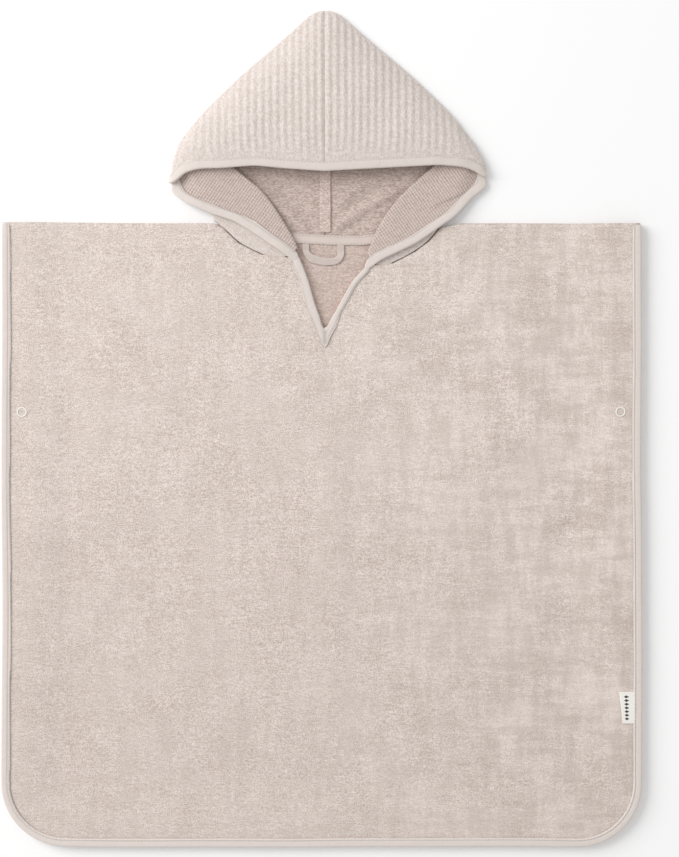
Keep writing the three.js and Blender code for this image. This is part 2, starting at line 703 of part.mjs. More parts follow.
// A woven label, sewn flat on the front panel with its lower end leaning outwards.
function label() {
  const right = BODY_WIDTH / 2 - LABEL.inset;
  const level = FRONT_EDGE_LEVEL + BODY_CLOTH / 2 + 0.3 + LABEL.thickness / 2;
  const cloth = new Cloth(LABEL.thickness);
  cloth.strips([0, 0.5, 1].map((share) => {
    const left = right - LABEL.width + LABEL.lean * share;
    const y = LABEL.top - LABEL.length * share;
    return [right, (left + right) / 2, left].map((x) => knot(x, y, level));
  }));
  return cloth;
}

// A ring or a disc turned about the snap's own axis, from half of its section.
function turned(section, x, z) {
  const points = section.map(([r, h]) => new THREE.Vector2(r, h));
  const shape = new THREE.LatheGeometry(points, 16).rotateX(Math.PI / 2);
  shape.translate(x, -SNAP_DROP, z);
  return shape;
}

const parts = new THREE.Group();

function add(name, geometry, material) {
  const mesh = new THREE.Mesh(geometry, material);
  mesh.name = name;
  parts.add(mesh);
  return mesh;
}

// One snap, fastened: a ring on the front, its socket, the stud and a ring on the back.
// Sections run as [radius, height] pairs from each piece's own foot.
function snap(name, x) {
  const frontTop = FRONT_EDGE_LEVEL + BODY_CLOTH / 2;
  const backTop = BACK_EDGE_LEVEL + BODY_CLOTH / 2;
  const backFoot = BACK_EDGE_LEVEL - BODY_CLOTH / 2;
  const room = FRONT_EDGE_LEVEL - BODY_CLOTH / 2 - backTop;
  const [hole, rim, shell, flat] = [SNAP_HOLE, SNAP_RADIUS, SNAP_SHELL, SNAP_RING];
  const roof = room - SNAP_AIR;
  const frontRing = [[hole, 0], [rim, 0], [rim, 0.6], [rim - 1.1, 1.2], [hole, 0.7], [hole, 0]];
  const backRing = [[hole, 0], [rim, 0], [rim, flat], [hole, flat], [hole, 0]];
  const socket = [[2.2, 1], [shell, 1], [shell, roof], [0, roof], [0, roof - 0.5], [2.2, roof - 0.5], [2.2, 1]];
  const stud = [[0, 0.3], [shell, 0.3], [shell, 0.7], [1.9, 0.7], [1.9, roof - 0.8], [0, roof - 0.8]];
  add(`${name}_front_ring`, turned(frontRing, x, frontTop + SNAP_AIR), materials.snap);
  add(`${name}_socket`, turned(socket, x, backTop), materials.snap);
  add(`${name}_stud`, turned(stud, x, backTop), materials.snap);
  add(`${name}_back_ring`, turned(backRing, x, backFoot - SNAP_AIR - flat), materials.snap);
}

const left = hoodPanel(HOOD.left);
const right = hoodPanel(HOOD.right);

// Stops of the hood's tape in the body's own X, from the left lapel's end over the forehead to the right.
function hoodTape() {
  const shifted = (runs, sign) => runs.map((run) => ({
    run: run.map((point) => knot(HOOD_MIDDLE + sign * point.x, point.y, point.z)),
  }));
  const leftStops = shifted(left.bound.slice(1), -1).reverse();
  const rightStops = shifted(right.bound, 1);
  return foldedTape([...leftStops, ...rightStops], HOOD_CLOTH);
}

add('back_panel', backPanel().geometry(), materials.terry);
add('front_panel', frontPanel().geometry(), materials.terry);
add('hood_left', left.cloth.geometry(true).translate(HOOD_MIDDLE, 0, 0), materials.ribbed);
add('hood_right', right.cloth.geometry().translate(HOOD_MIDDLE, 0, 0), materials.ribbed);
add('hood_binding', hoodTape().geometry(), materials.tape);
add('slit_binding', slitTape().geometry(), materials.tape);
add('front_binding', bodyTape(frontHeight).geometry(), materials.tape);
add('back_binding', bodyTape(backHeight).geometry(), materials.tape);
add('hood_seam_tape', seamTape().geometry(), materials.tape);
add('neck_tape', neckTape().geometry(), materials.tape);
add('hanger_loop', hangerLoop().geometry(), materials.tape);
add('label', label().geometry(), materials.label);
snap('snap_left', SNAP_INSET - BODY_WIDTH / 2);
snap('snap_right', BODY_WIDTH / 2 - SNAP_INSET);

// The origin is on the table, under the middle of the whole poncho.
const reach = new THREE.Box3().setFromObject(parts);
const poncho = new THREE.Group();
parts.position.set(-(reach.min.x + reach.max.x) / 2, -(reach.min.y + reach.max.y) / 2, 0);
poncho.add(parts);

export default poncho;
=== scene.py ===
"""Hooded bath poncho laid flat: cloth, tapes, snaps, label and sewing round the shared frame.

Metres, +Y from the hem to the tip of the hood, +Z up from the table.
"""

import math

import bmesh
import bpy
from mathutils import Matrix, Vector, noise
from mathutils.bvhtree import BVHTree


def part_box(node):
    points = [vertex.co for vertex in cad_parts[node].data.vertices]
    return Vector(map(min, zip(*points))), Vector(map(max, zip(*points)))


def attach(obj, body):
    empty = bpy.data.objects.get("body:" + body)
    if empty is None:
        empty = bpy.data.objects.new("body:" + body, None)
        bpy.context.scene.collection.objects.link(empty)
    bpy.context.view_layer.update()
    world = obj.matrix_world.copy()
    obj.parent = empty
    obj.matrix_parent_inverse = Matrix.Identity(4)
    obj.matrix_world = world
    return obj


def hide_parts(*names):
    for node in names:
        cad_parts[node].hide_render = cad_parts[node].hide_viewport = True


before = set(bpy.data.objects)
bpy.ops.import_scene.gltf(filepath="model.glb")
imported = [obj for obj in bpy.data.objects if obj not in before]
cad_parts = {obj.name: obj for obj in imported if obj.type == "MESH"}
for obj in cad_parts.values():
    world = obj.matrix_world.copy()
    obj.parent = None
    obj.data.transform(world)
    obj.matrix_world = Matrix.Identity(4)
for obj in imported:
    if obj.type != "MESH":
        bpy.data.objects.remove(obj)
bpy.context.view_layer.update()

bl_info = {
    "name": "Hooded bath poncho",
    "version": (1, 0, 0),
    "blender": (4, 5, 0),
    "location": "View3D > Sidebar > Poncho",
    "description": "Terry cloth, bindings, snaps and sewing of a child's bath poncho laid flat",
    "category": "Object",
}

# Lengths are in metres, here and below, where nothing else is said.
MM = 0.001
MERGE = 1e-6
TABLE_GAP = 0.00004

# How far a normal points up on a face that is pressed, and on one that lies level.
UP_FACING = 0.2
LEVEL = 0.7

# The body: its rectangle, the share of it that is cloth, and the strip along a sewn edge that
# keeps its height. The tape's fold stands past the cloth's edge by TAPE_NOSE.
BODY_SIZE = (0.598, 0.583)
BODY_HALF_WIDTH = 0.299
BODY_CORNER = 0.060
BODY_CLOTH = 0.0018
SHOULDER = 0.19172
HEM = SHOULDER - BODY_SIZE[1]
HELD_EDGE = 0.012
TAPE_NOSE = 0.00135
NECK_GAP = 0.0006
WAVER = 0.0011

# The hood: each half as cut, the share of it that shows, and the ribs out from the middle seam.
HOOD_MIDDLE = 0.0031
HOOD_SWELL = 0.0007
RIB_SPAN = {"left": 0.1315, "right": 0.133}
RIBS_PER_SIDE = 19
RIB_RISE = 0.00008
RIB_START = 0.00025
RIBS_FROM = 0.055
LAPELS_UP_TO = 0.06
REAR_WALL_TOP = 0.0045
REAR_WALL_SPAN = (0.010, 0.080)
DEEPEST_CREASE = 0.0009
SEAM_CLOSED = 0.00042
SEAM_DIP = 0.0003

# A tape's pressed inner side: groove and lip, by their place in from the edge and their height.
GROOVE_AT, GROOVE_DEPTH = 0.0062, 0.0005
LIP_AT, LIP_HEIGHT = 0.0078, 0.0003
CREST_WIDTH = 0.0007
PRESSED = 0.0007
PUCKER_HEIGHT = 0.0002
INNER_PUCKER_HEIGHT = 0.00015

# The slit's right side is narrowed by that share, and its foot is mitred.
NARROWED = 0.4
MITRE_DEPTH = 0.0005
MITRE_WIDTH = 0.0009

# The hanging loop: its tape, how far each edge of its lower run moves up at the right and
# what the left adds to that, how far the rest moves up, and how high the upper edge tilts.
LOOP_TAPE = 0.0065
LOOP_LOWER_EDGE = (0.0029, 0.0026)
LOOP_UPPER_EDGE = (0.0036, 0.0052)
LOOP_SHIFT = 0.0036
LOOP_TILT = 0.0006

# The label's diamonds, and how it flares, leans, shifts and bows up.
DIAMOND_PITCH = 0.0034
DIAMOND_HALF_WIDTH = 0.0021
DIAMONDS = 7
DIAMOND_INK = (0.05, 0.047, 0.045, 1.0)
LABEL_FLARE, LABEL_LEAN, LABEL_SHIFT, LABEL_BOW = 0.0024, 0.0019, 0.0016, 0.0003

RING_RADIUS = 0.0041
RING_THICKNESS = 0.00104
RING_SINK = 0.00005

# How far in from its edge each row of stitches runs; the neck's rows are off its middle line.
EDGE_ROW = 0.0070
TAPE_ROW = 0.0056
NECK_ROW = 0.0035
SHOULDER_ROW = 0.0035
SHOULDER_ROWS = ((-0.292, -0.104), (0.292, 0.113))
STEEPEST_STITCH = 0.0012
STITCH_LIFT = 0.00005

# Noise scales, to a metre: the terry's loops and its brushed patches.
LOOP_SCALE = 820.0
PATCH_SCALE = 14.0

LIGHT_PLACE = (-3.0, 1.5, 2.3)
LIGHT_SIZE = 2.7
CAMERA_AT = (0.0167, -0.0004)
FLOOR_REACH = 6.0

# Points in the tables below are in millimetres: x, and y up from the shoulder line.

# The hood's bound edge as it lies, from the left lapel's foot over the forehead to the right's.
HOOD_EDGE = [
    (-26.4, -32.0), (-45.4, -20.3), (-62.9, -8.2), (-83.9, 4.3), (-101.4, 8.6), (-119.7, 16.8),
    (-131.7, 23.0), (-138.1, 29.5), (-140.5, 37.5), (-128.9, 47.5), (-114.9, 51.3), (-94.9, 51.2),
    (-62.9, 53.5), (-34.9, 51.0), (3.1, 48.7), (29.1, 50.5), (59.1, 52.2), (89.1, 53.8),
    (109.1, 54.8), (137.1, 52.8), (152.7, 44.0), (150.1, 35.5), (141.1, 26.0), (124.1, 6.5),
    (112.6, -0.5), (89.6, -17.3), (69.1, -27.0), (54.1, -34.0), (43.6, -40.5),
]

# The front's slit, down its left edge and up its right one.
SLIT_LEFT = [(-20.1, -38.5), (-13.6, -51.9), (-7.1, -76.9), (3.1, -101.5)]
SLIT_RIGHT = [(3.1, -101.5), (14.1, -83.8), (29.7, -54.5), (38.1, -46.5)]

# The neck tape's middle line, from left to right.
NECK_TAPE = [
    (-96.0, -2.4), (-60.0, -8.0), (-28.0, -13.5), (3.0, -15.4), (35.0, -16.0), (62.0, -13.4),
    (98.0, -8.0),
]

# Creases of the front, pressed in by hand: both ends, then depth and half width.
CREASES = [
    (118.0, -9.0, 92.0, -38.0, -1.0, 4.0), (136.0, -5.0, 121.0, -52.0, 0.9, 7.0),
    (-116.0, -6.0, -88.0, -33.0, -0.7, 5.0), (-235.0, -60.0, -150.0, -150.0, 0.7, 17.0),
    (8.0, -215.0, 16.0, -465.0, 0.7, 13.0), (262.0, -205.0, 214.0, -330.0, -0.8, 15.0),
    (106.0, -455.0, 142.0, -570.0, 0.6, 9.0), (-58.0, -470.0, -76.0, -575.0, -0.6, 10.0),
    (-284.0, -330.0, -196.0, -300.0, -0.6, 12.0), (60.0, -120.0, 118.0, -205.0, 0.5, 14.0),
]

# Creases of the hood's rear wall, seen in its mouth.
INSIDE_CREASES = [
    (16.0, -1.0, 69.0, 31.0, 2.2, 4.5), (24.0, 12.0, 62.0, 40.0, -0.9, 3.5),
    (20.0, 22.0, 47.0, 43.0, 1.6, 3.5), (-18.0, -2.0, -58.0, 32.0, 1.7, 5.0),
    (-16.0, 16.0, -48.0, 44.0, -0.7, 4.0),
]

# The front neckline on each side of the slit, where the hood is sewn in, and the back's.
NECKLINE_LEFT = [
    (-100.9, 2.0), (-91.9, -5.0), (-77.9, -18.0), (-56.9, -28.5), (-39.0, -30.5), (-27.0, -31.5),
]
NECKLINE_RIGHT = [
    (128.0, -0.3), (111.1, -4.0), (101.1, -16.0), (87.1, -26.5), (67.1, -37.0), (54.0, -38.5),
    (45.0, -39.0),
]
BACK_NECK = [(-102.9, 0.0), (3.1, -17.0), (113.1, -4.6), (130.0, 0.0)]

# The tapes' flat width and length, how they are held, and what they rest on.
TAPES = {
    "hood_binding": (0.0185, 0.62, "folded", ["hood_left_cloth", "hood_right_cloth"]),
    "slit_binding": (0.0185, 0.15, "folded", ["front_panel_cloth"]),
    "front_binding": (0.0185, 1.66, "folded", ["front_panel_cloth"]),
    "back_binding": (0.0185, 1.66, "folded", ["back_panel_cloth"]),
}

# The tapes inside the neck: material, flat size, area and what they rest on.
INNER_TAPES = {
    "hood_seam_tape": ("seam strip", (0.0103, 0.158), 0.0016, ["hood_left_cloth"]),
    "neck_tape": ("neck tape", (0.0100, 0.195), 0.0018, ["back_panel_cloth"]),
    "hanger_loop": ("loop tape", (0.0100, 0.062), 0.00041, ["back_panel_cloth"]),
}

# The mouth's corners, drawn inwards: place, reach and move, all in millimetres.
CORNER_PULLS = {
    -1: ((-144.0, 42.0), 24.0, (1.9, 0.7, 0.0)),
    1: ((155.8, 46.0), 12.0, (-2.1, 0.0, 0.0)),
}

# How the hood's tape is drawn at its two ends and at the mouth's corners.
HOOD_TAPE_PULLS = [
    (HOOD_EDGE[0], 16.0, (4.0, -4.8, -2.6)), (HOOD_EDGE[-1], 16.0, (-4.0, -4.6, -2.6)),
    ((-141.0, 30.0), 11.0, (-2.8, 0.0, 0.0)), ((150.5, 33.0), 15.0, (3.6, 0.0, 0.0)),
]

# How the slit's tape is drawn at its foot, then at its upper ends.
SLIT_TAPE_PULLS = [
    ((3.1, -113.5), 12.0, (0.0, -6.2, 0.0)), ((4.1, -93.5), 9.0, (-0.8, -4.6, 0.0)),
    (SLIT_LEFT[0], 18.0, (-3.0, 8.4, 0.6)), (SLIT_RIGHT[-1], 16.0, (5.6, 6.6, 0.6)),
]


def to_metres(points):
    """The points, given in millimetres from the shoulder line, as vectors in the frame."""
    return [Vector((x * MM, y * MM + SHOULDER)) for x, y in points]


def smooth_step(low, high, value):
    """A share from 0 to 1 that rises softly from one limit to the other."""
    share = min(1.0, max(0.0, (value - low) / (high - low)))
    return share * share * (3 - 2 * share)


def colour_property(name, description, value):
    """A colour setting."""
    return bpy.props.FloatVectorProperty(
        name=name, description=description, default=value, subtype="COLOR", size=3, min=0, max=1
    )


def length_property(name, description, value):
    """A length setting in metres."""
    return bpy.props.FloatProperty(
        name=name, description=description, default=value, subtype="DISTANCE", unit="LENGTH"
    )


class PonchoCloth(bpy.types.PropertyGroup):
    """Colours of the cloths and fineness of their meshes"""

    terry_light: colour_property("Terry, raised", "Tips of the body's loops", (0.915, 0.815, 0.756))
    terry_dark: colour_property("Terry, hollow", "Between the body's loops", (0.495, 0.407, 0.354))
    hood_light: colour_property("Ribs, raised", "Crests of the hood's ribs", (0.785, 0.710, 0.670))
    # The ribs' hollow colour is also painted into the rib hollows as shade.
    hood_dark: colour_property("Ribs, hollow", "Between the hood's ribs", (0.60, 0.52, 0.475))
    # The inside colours are darkened partly as painted shade inside the neck and the hood's mouth;
    # the rest is the looped cloth's own tone.
    inside_light: colour_property("Inside, raised", "Loops inside the hood", (0.69, 0.565, 0.51))
    inside_dark: colour_property("Inside, hollow", "Ground inside the hood", (0.39, 0.30, 0.26))
    tape: colour_property("Tape", "Woven cotton tape", (0.776, 0.697, 0.648))
    inner_tape: colour_property("Inner tape", "Tape inside the neck", (0.735, 0.632, 0.573))
    thread: colour_property("Thread", "Sewing thread", (0.85, 0.78, 0.73))
    label: colour_property("Label", "Woven label", (0.90, 0.87, 0.82))
    snap: colour_property("Snap", "Ring snaps", (0.90, 0.88, 0.84))
    body_grain: length_property("Body mesh", "Width of the squares of the body's mesh", 0.005)
    hood_grain: length_property("Hood mesh", "Longest edge of the hood's mesh", 0.014)
    swell: length_property("Swells", "Height of the front's soft swells", 0.0009)


class PonchoSewing(bpy.types.PropertyGroup):
    """Measures of the topstitches"""

    stitch: length_property("Stitch", "Length of one topstitch", 0.0026)
    gap: length_property("Gap", "Cloth between two topstitches", 0.0007)
    thread: length_property("Thread", "Thickness of the thread", 0.0006)


class PonchoStage(bpy.types.PropertyGroup):
    """Floor, light and camera"""

    floor: colour_property("Floor", "Plain pale floor", (0.97, 0.97, 0.97))
    camera_height: length_property("Camera height", "Camera above the table", 2.0)
    picture_height: length_property("Picture height", "Length of table in the picture", 0.8034)
    key_power: bpy.props.FloatProperty(
        name="Main light", description="Power of the main light", default=121.0, unit="POWER"
    )
    fill: bpy.props.FloatProperty(
        name="Room light", description="Strength of the room's light", default=0.66
    )


def new_group(name, inputs, outputs):
    """An empty shader group with those sockets, and its two end nodes."""
    group = bpy.data.node_groups.new(name, "ShaderNodeTree")
    for way, sockets in (("INPUT", inputs), ("OUTPUT", outputs)):
        for label, kind in sockets:
            group.interface.new_socket(name=label, in_out=way, socket_type=kind)
    nodes = group.nodes
    return group, nodes.new("NodeGroupInput"), nodes.new("NodeGroupOutput")


class Graph:
    """Adds nodes to a tree, with plain values or other nodes' sockets as inputs."""

    def __init__(self, tree):
        self.tree = tree
        self.shader = tree.nodes.get("Principled BSDF")

    def node(self, kind, settings=None, **inputs):
        """A node of that kind; an underscore in an input's name stands for a space."""
        made = self.tree.nodes.new(kind)
        for key, value in (settings or {}).items():
            setattr(made, key, value)
        for key, value in inputs.items():
            self.feed(made.inputs[key.replace("_", " ")], value)
        return made

    def feed(self, socket, value):
        """Links a socket to another one, or sets its value."""
        if isinstance(value, bpy.types.NodeSocket):
            self.tree.links.new(value, socket)
        else:
            socket.default_value = value

    def math(self, operation, *values, clamp=False):
        """One step of arithmetic with values and sockets."""
        made = self.tree.nodes.new("ShaderNodeMath")
        made.operation = operation
        made.use_clamp = clamp
        for socket, value in zip(made.inputs, values):
            self.feed(socket, value)
        return made.outputs[0]

    def attribute(self, name):
        """The mesh's own value of that name."""
        return self.node("ShaderNodeAttribute", {"attribute_name": name}).outputs["Fac"]

    def blend(self, share, first, second):
        """The first colour, turned towards the second by that share."""
        made = self.tree.nodes.new("ShaderNodeMix")
        made.data_type = "RGBA"
        self.feed(made.inputs[0], share)
        self.feed(made.inputs[6], first)
        self.feed(made.inputs[7], second)
        return made.outputs[2]

    def noise(self, place, scale, detail=2.0, roughness=0.5):
        """Soft noise from 0 to 1."""
        made = self.node(
            "ShaderNodeTexNoise", Vector=place, Scale=scale, Detail=detail, Roughness=roughness
        )
        return made.outputs["Fac"]

    def stretched(self, place, scale):
        """The place squeezed or stretched along each axis."""
        return self.node("ShaderNodeMapping", Vector=place, Scale=scale).outputs[0]

    def ramp(self, value, low, high):
        """A share from 0 to 1 that rises softly between the two limits."""
        made = self.node("ShaderNodeMapRange", {"interpolation_type": "SMOOTHSTEP"}, Value=value)
        made.inputs["From Min"].default_value = low
        made.inputs["From Max"].default_value = high
        return made.outputs[0]


def loop_pile_group():
    """Loops of terry: a mask that is high on the loops' tips, and a height for bump."""
    group, entry, leave = new_group(
        "Loop pile",
        [("Place", "NodeSocketVector")],
        [("Tips", "NodeSocketFloat"), ("Height", "NodeSocketFloat")],
    )
    graph = Graph(group)
    place = entry.outputs["Place"]
    fine = graph.noise(place, LOOP_SCALE, detail=3.0, roughness=0.6)
    clumps = graph.noise(place, LOOP_SCALE * 0.37)
    rows = graph.noise(graph.stretched(place, (0.16, 0.8, 1.0)), LOOP_SCALE)
    mixed = graph.math("MULTIPLY_ADD", fine, 0.68, graph.math("MULTIPLY", clumps, 0.12))
    mixed = graph.math("MULTIPLY_ADD", rows, 0.20, mixed)
    graph.feed(leave.inputs["Tips"], graph.ramp(mixed, 0.36, 0.64))
    graph.feed(leave.inputs["Height"], mixed)
    return group


def brushed_group():
    """Patches where the pile is brushed one way or the other, streaked along the weave."""
    group, entry, leave = new_group(
        "Brushed nap",
        [("Place", "NodeSocketVector")],
        [("Patches", "NodeSocketFloat"), ("Streaks", "NodeSocketFloat")],
    )
    graph = Graph(group)
    place = entry.outputs["Place"]
    patches = graph.noise(place, PATCH_SCALE, detail=4.0, roughness=0.62)
    streaks = 0.0
    for stretch, finer in (((0.35, 1.6, 1.0), 6.0), ((1.6, 0.3, 1.0), 5.0)):
        ruled = graph.stretched(place, stretch)
        run = graph.noise(ruled, PATCH_SCALE * finer, detail=3.0, roughness=0.6)
        streaks = graph.math("MULTIPLY_ADD", run, 0.5, streaks)
    graph.feed(leave.inputs["Patches"], graph.ramp(patches, 0.34, 0.66))
    graph.feed(leave.inputs["Streaks"], graph.ramp(streaks, 0.38, 0.62))
    return group


def weave_group():
    """Fine woven ribs at a slant: a mask that is high on the threads."""
    numbers = [(name, "NodeSocketFloat") for name in ("Threads", "Slant")]
    group, entry, leave = new_group(
        "Fine weave", [("Place", "NodeSocketVector"), *numbers], [("Raised", "NodeSocketFloat")]
    )
    graph, given = Graph(group), entry.outputs
    turned = graph.node(
        "ShaderNodeVectorRotate", {"rotation_type": "Z_AXIS"},
        Vector=given["Place"], Angle=given["Slant"],
    ).outputs[0]
    parts = graph.node("ShaderNodeSeparateXYZ", Vector=turned).outputs
    wander = graph.math("MULTIPLY", graph.noise(turned, 160.0), 2.2)
    around = graph.math("MULTIPLY", given["Threads"], math.tau)
    raised = 0.5
    for part, share in (("X", 0.36), ("Y", 0.14)):
        angle = graph.math("MULTIPLY_ADD", parts[part], around, wander)
        raised = graph.math("MULTIPLY_ADD", graph.math("SINE", angle), share, raised)
    graph.feed(leave.inputs["Raised"], raised)
    return group


GROUP_MAKERS = {"Loop pile": loop_pile_group, "Brushed nap": brushed_group, "Fine weave": weave_group}


def rgba(colour, factor=1.0):
    """The colour made lighter or darker, with full cover."""
    return (*[min(1.0, channel * factor) for channel in colour], 1.0)


def new_material(name, roughness, sheen=0.0, sheen_roughness=0.45, coat=0.0):
    """A material, its graph and the object coordinates."""
    material = bpy.data.materials.new(name)
    material.use_nodes = True
    graph = Graph(material.node_tree)
    for socket, value in (
        ("Roughness", roughness), ("Sheen Weight", sheen), ("Sheen Roughness", sheen_roughness),
        ("Coat Weight", coat),
    ):
        graph.feed(graph.shader.inputs[socket], value)
    return material, graph, graph.node("ShaderNodeTexCoord").outputs["Object"]


def group_node(graph, name, **inputs):
    """The outputs of a shared shader group, which is built on first use."""
    made = graph.tree.nodes.new("ShaderNodeGroup")
    made.node_tree = bpy.data.node_groups.get(name) or GROUP_MAKERS[name]()
    for key, value in inputs.items():
        graph.feed(made.inputs[key], value)
    return made.outputs


def pile_on(graph, place, stretch):
    """Loop pile, stretched along each axis."""
    return group_node(graph, "Loop pile", Place=graph.stretched(place, stretch))


def surfaced(material, graph, tone, height, strength, distance):
    """The material, given its colour and a normal from that height."""
    bump = graph.node("ShaderNodeBump", Height=height, Strength=strength, Distance=distance)
    graph.feed(graph.shader.inputs["Base Color"], tone)
    graph.feed(graph.shader.inputs["Normal"], bump.outputs[0])
    return material


def body_terry(name, cloth):
    """Sheared terry of the body: loops, brushed patches that grow stronger to the right, and painted
    shade that darkens it towards the hem.
    """
    material, graph, place = new_material(name, roughness=0.92, sheen=0.25)
    pile = pile_on(graph, place, (1.25, 1.25, 1.25))
    brushed = group_node(graph, "Brushed nap", Place=place)
    parts = graph.node("ShaderNodeSeparateXYZ", Vector=place).outputs
    right = graph.ramp(parts["X"], -0.1, 0.3)
    down = graph.ramp(parts["Y"], 0.12, -0.36)
    patchy = graph.math("MULTIPLY_ADD", right, 0.30, 0.16)
    streaky = graph.math("MULTIPLY_ADD", right, 0.24, 0.20)
    tone = graph.blend(pile["Tips"], rgba(cloth.terry_dark), rgba(cloth.terry_light))
    for mask, share, colour in (
        (brushed["Patches"], patchy, rgba(cloth.terry_light)),
        (brushed["Streaks"], streaky, rgba(cloth.terry_dark, 0.92)),
        # Painted shade: the body's colour darkens towards the hem, standing in for the main light's
        # falloff.
        (down, 0.16, rgba(cloth.terry_dark, 0.8)),
    ):
        tone = graph.blend(graph.math("MULTIPLY", mask, share), tone, colour)
    return surfaced(material, graph, tone, pile["Height"], strength=0.55, distance=0.0011)


def looped_terry(name, cloth, stretch, dark, light, roughness, strength, distance):
    """Terry with longer loops, as it shows inside the neck; its colours are darkened partly as
    painted shade.
    """
    material, graph, place = new_material(name, roughness, sheen=0.2)
    pile = pile_on(graph, place, stretch)
    tone = graph.blend(pile["Tips"], rgba(cloth.inside_dark, dark), rgba(cloth.inside_light, light))
    return surfaced(material, graph, tone, pile["Height"], strength, distance)


def ribbed_terry(name, cloth):
    """The hood's cloth: ribs outside with painted shade in their hollows, loops inside that are
    darkened partly as painted shade, and a slanted fine weave on the lapels.
    """
    material, graph, place = new_material(name, roughness=0.92, sheen=0.25)
    read = {mark: graph.attribute(mark) for mark in ("rib", "outside", "lapel", "left")}
    dark, light = rgba(cloth.inside_dark), rgba(cloth.inside_light)
    pile = pile_on(graph, place, (1.0, 0.55, 1.0))
    outside = graph.blend(pile["Tips"], rgba(cloth.hood_dark), rgba(cloth.hood_light))
    # Painted shade in the rib hollows, its strength varied in random patches.
    rib_shade_share = graph.ramp(graph.noise(place, 17.0, detail=3.0), 0.32, 0.66)
    rib_shade_share = graph.math("MULTIPLY_ADD", rib_shade_share, 0.19, 0.02)
    hollow = graph.math("MULTIPLY", graph.math("SUBTRACT", 1.0, read["rib"]), rib_shade_share)
    outside = graph.blend(hollow, outside, rgba(cloth.hood_dark))
    inside = graph.blend(pile_on(graph, place, (0.45, 1.15, 1.0))["Tips"], dark, light)
    slant = graph.math("MULTIPLY_ADD", read["left"], 1.2, -0.6)
    weave = group_node(graph, "Fine weave", Place=place, Threads=390.0, Slant=slant)["Raised"]
    lapel = graph.blend(weave, rgba(cloth.inside_dark, 0.9), rgba(cloth.inside_light, 1.08))
    lapel = graph.blend(0.3, lapel, graph.blend(pile["Tips"], dark, rgba(cloth.hood_light)))
    inner = graph.blend(read["lapel"], inside, lapel)
    tone = graph.blend(read["outside"], inner, outside)
    woven = graph.math("MULTIPLY", weave, graph.math("MULTIPLY", read["lapel"], 0.5))
    height = graph.math("ADD", pile["Height"], woven)
    return surfaced(material, graph, tone, height, strength=0.5, distance=0.001)


def woven_tape(name, cloth, colour="tape", shade=1.0):
    """Cotton tape: fine weave, faint puckers, painted shade in the groove along its seam and a
    painted highlight on the lip.
    """
    material, graph, place = new_material(name, 0.82, sheen=0.12, sheen_roughness=0.4)
    colour = getattr(cloth, colour)
    weave = group_node(graph, "Fine weave", Place=place, Threads=900.0, Slant=0.6)["Raised"]
    pucker = graph.noise(place, 210.0)
    seam = graph.attribute("seam")
    tone = rgba(colour, 0.90 * shade)
    for mask, share, other in (
        (weave, 0.5, rgba(colour, 1.05 * shade)),
        (graph.ramp(pucker, 0.3, 0.7), 0.35, rgba(colour, 0.86 * shade)),
        # The seam mark paints shade into the grooves (positive) and a highlight onto the lips
        # (negative).
        (seam, 0.42, rgba(colour, 0.5)),
        (seam, -0.28, rgba(colour, 1.1)),
    ):
        tone = graph.blend(graph.math("MULTIPLY", mask, share, clamp=True), tone, other)
    height = graph.math("MULTIPLY_ADD", weave, 0.2, pucker)
    return surfaced(material, graph, tone, height, strength=0.3, distance=0.0009)


def twisted_thread(name, cloth):
    """Sewing thread with a fine twist."""
    material, graph, place = new_material(name, 0.7, sheen=0.1, sheen_roughness=0.4)
    twist = graph.noise(place, 1500.0, detail=1.0)
    tone = graph.blend(twist, rgba(cloth.thread, 0.85), rgba(cloth.thread, 1.1))
    graph.feed(graph.shader.inputs["Base Color"], tone)
    return material


def label_satin(name, cloth):
    """Woven satin with a plain row of small diamonds, placed by the label's own attributes."""
    material, graph, place = new_material(name, 0.55, sheen=0.1, sheen_roughness=0.3)
    ribs = graph.node(
        "ShaderNodeTexWave", {"bands_direction": "Y"}, Vector=place, Scale=700.0, Distortion=0.6
    ).outputs["Fac"]
    along, across = graph.attribute("along"), graph.attribute("across")
    apart = graph.math("ABSOLUTE", graph.math("SUBTRACT", along, graph.math("ROUND", along)))
    near = graph.math("MULTIPLY_ADD", apart, 2.0, graph.math("ABSOLUTE", across))
    in_row = graph.math("LESS_THAN", graph.math("ABSOLUTE", along), DIAMONDS / 2)
    motif = graph.math("MULTIPLY", graph.ramp(near, 0.95, 0.75), in_row)
    faint = graph.math("MULTIPLY", ribs, 0.4)
    tone = graph.blend(faint, rgba(cloth.label), rgba(cloth.label, 0.9))
    tone = graph.blend(motif, tone, DIAMOND_INK)
    return surfaced(material, graph, tone, ribs, strength=0.15, distance=0.0004)


def snap_plastic(name, cloth):
    """Glossy off-white plastic, a little scuffed."""
    material, graph, place = new_material(name, roughness=0.34, coat=0.15)
    scuffs = graph.noise(place, 900.0, detail=4.0, roughness=0.7)
    tone = graph.blend(scuffs, rgba(cloth.snap, 0.94), rgba(cloth.snap, 1.02))
    rough = graph.math("MULTIPLY_ADD", scuffs, 0.25, 0.22)
    graph.feed(graph.shader.inputs["Roughness"], rough)
    return surfaced(material, graph, tone, scuffs, strength=0.08, distance=0.0003)


INSIDE = {
    "stretch": (0.6, 1.0, 1.0), "dark": 1.22, "light": 1.02,
    "roughness": 0.94, "strength": 0.6, "distance": 0.0012,
}
SEAM_STRIP = {
    "stretch": (0.8, 1.1, 1.0), "dark": 1.2, "light": 1.13,
    "roughness": 0.92, "strength": 0.5, "distance": 0.001,
}

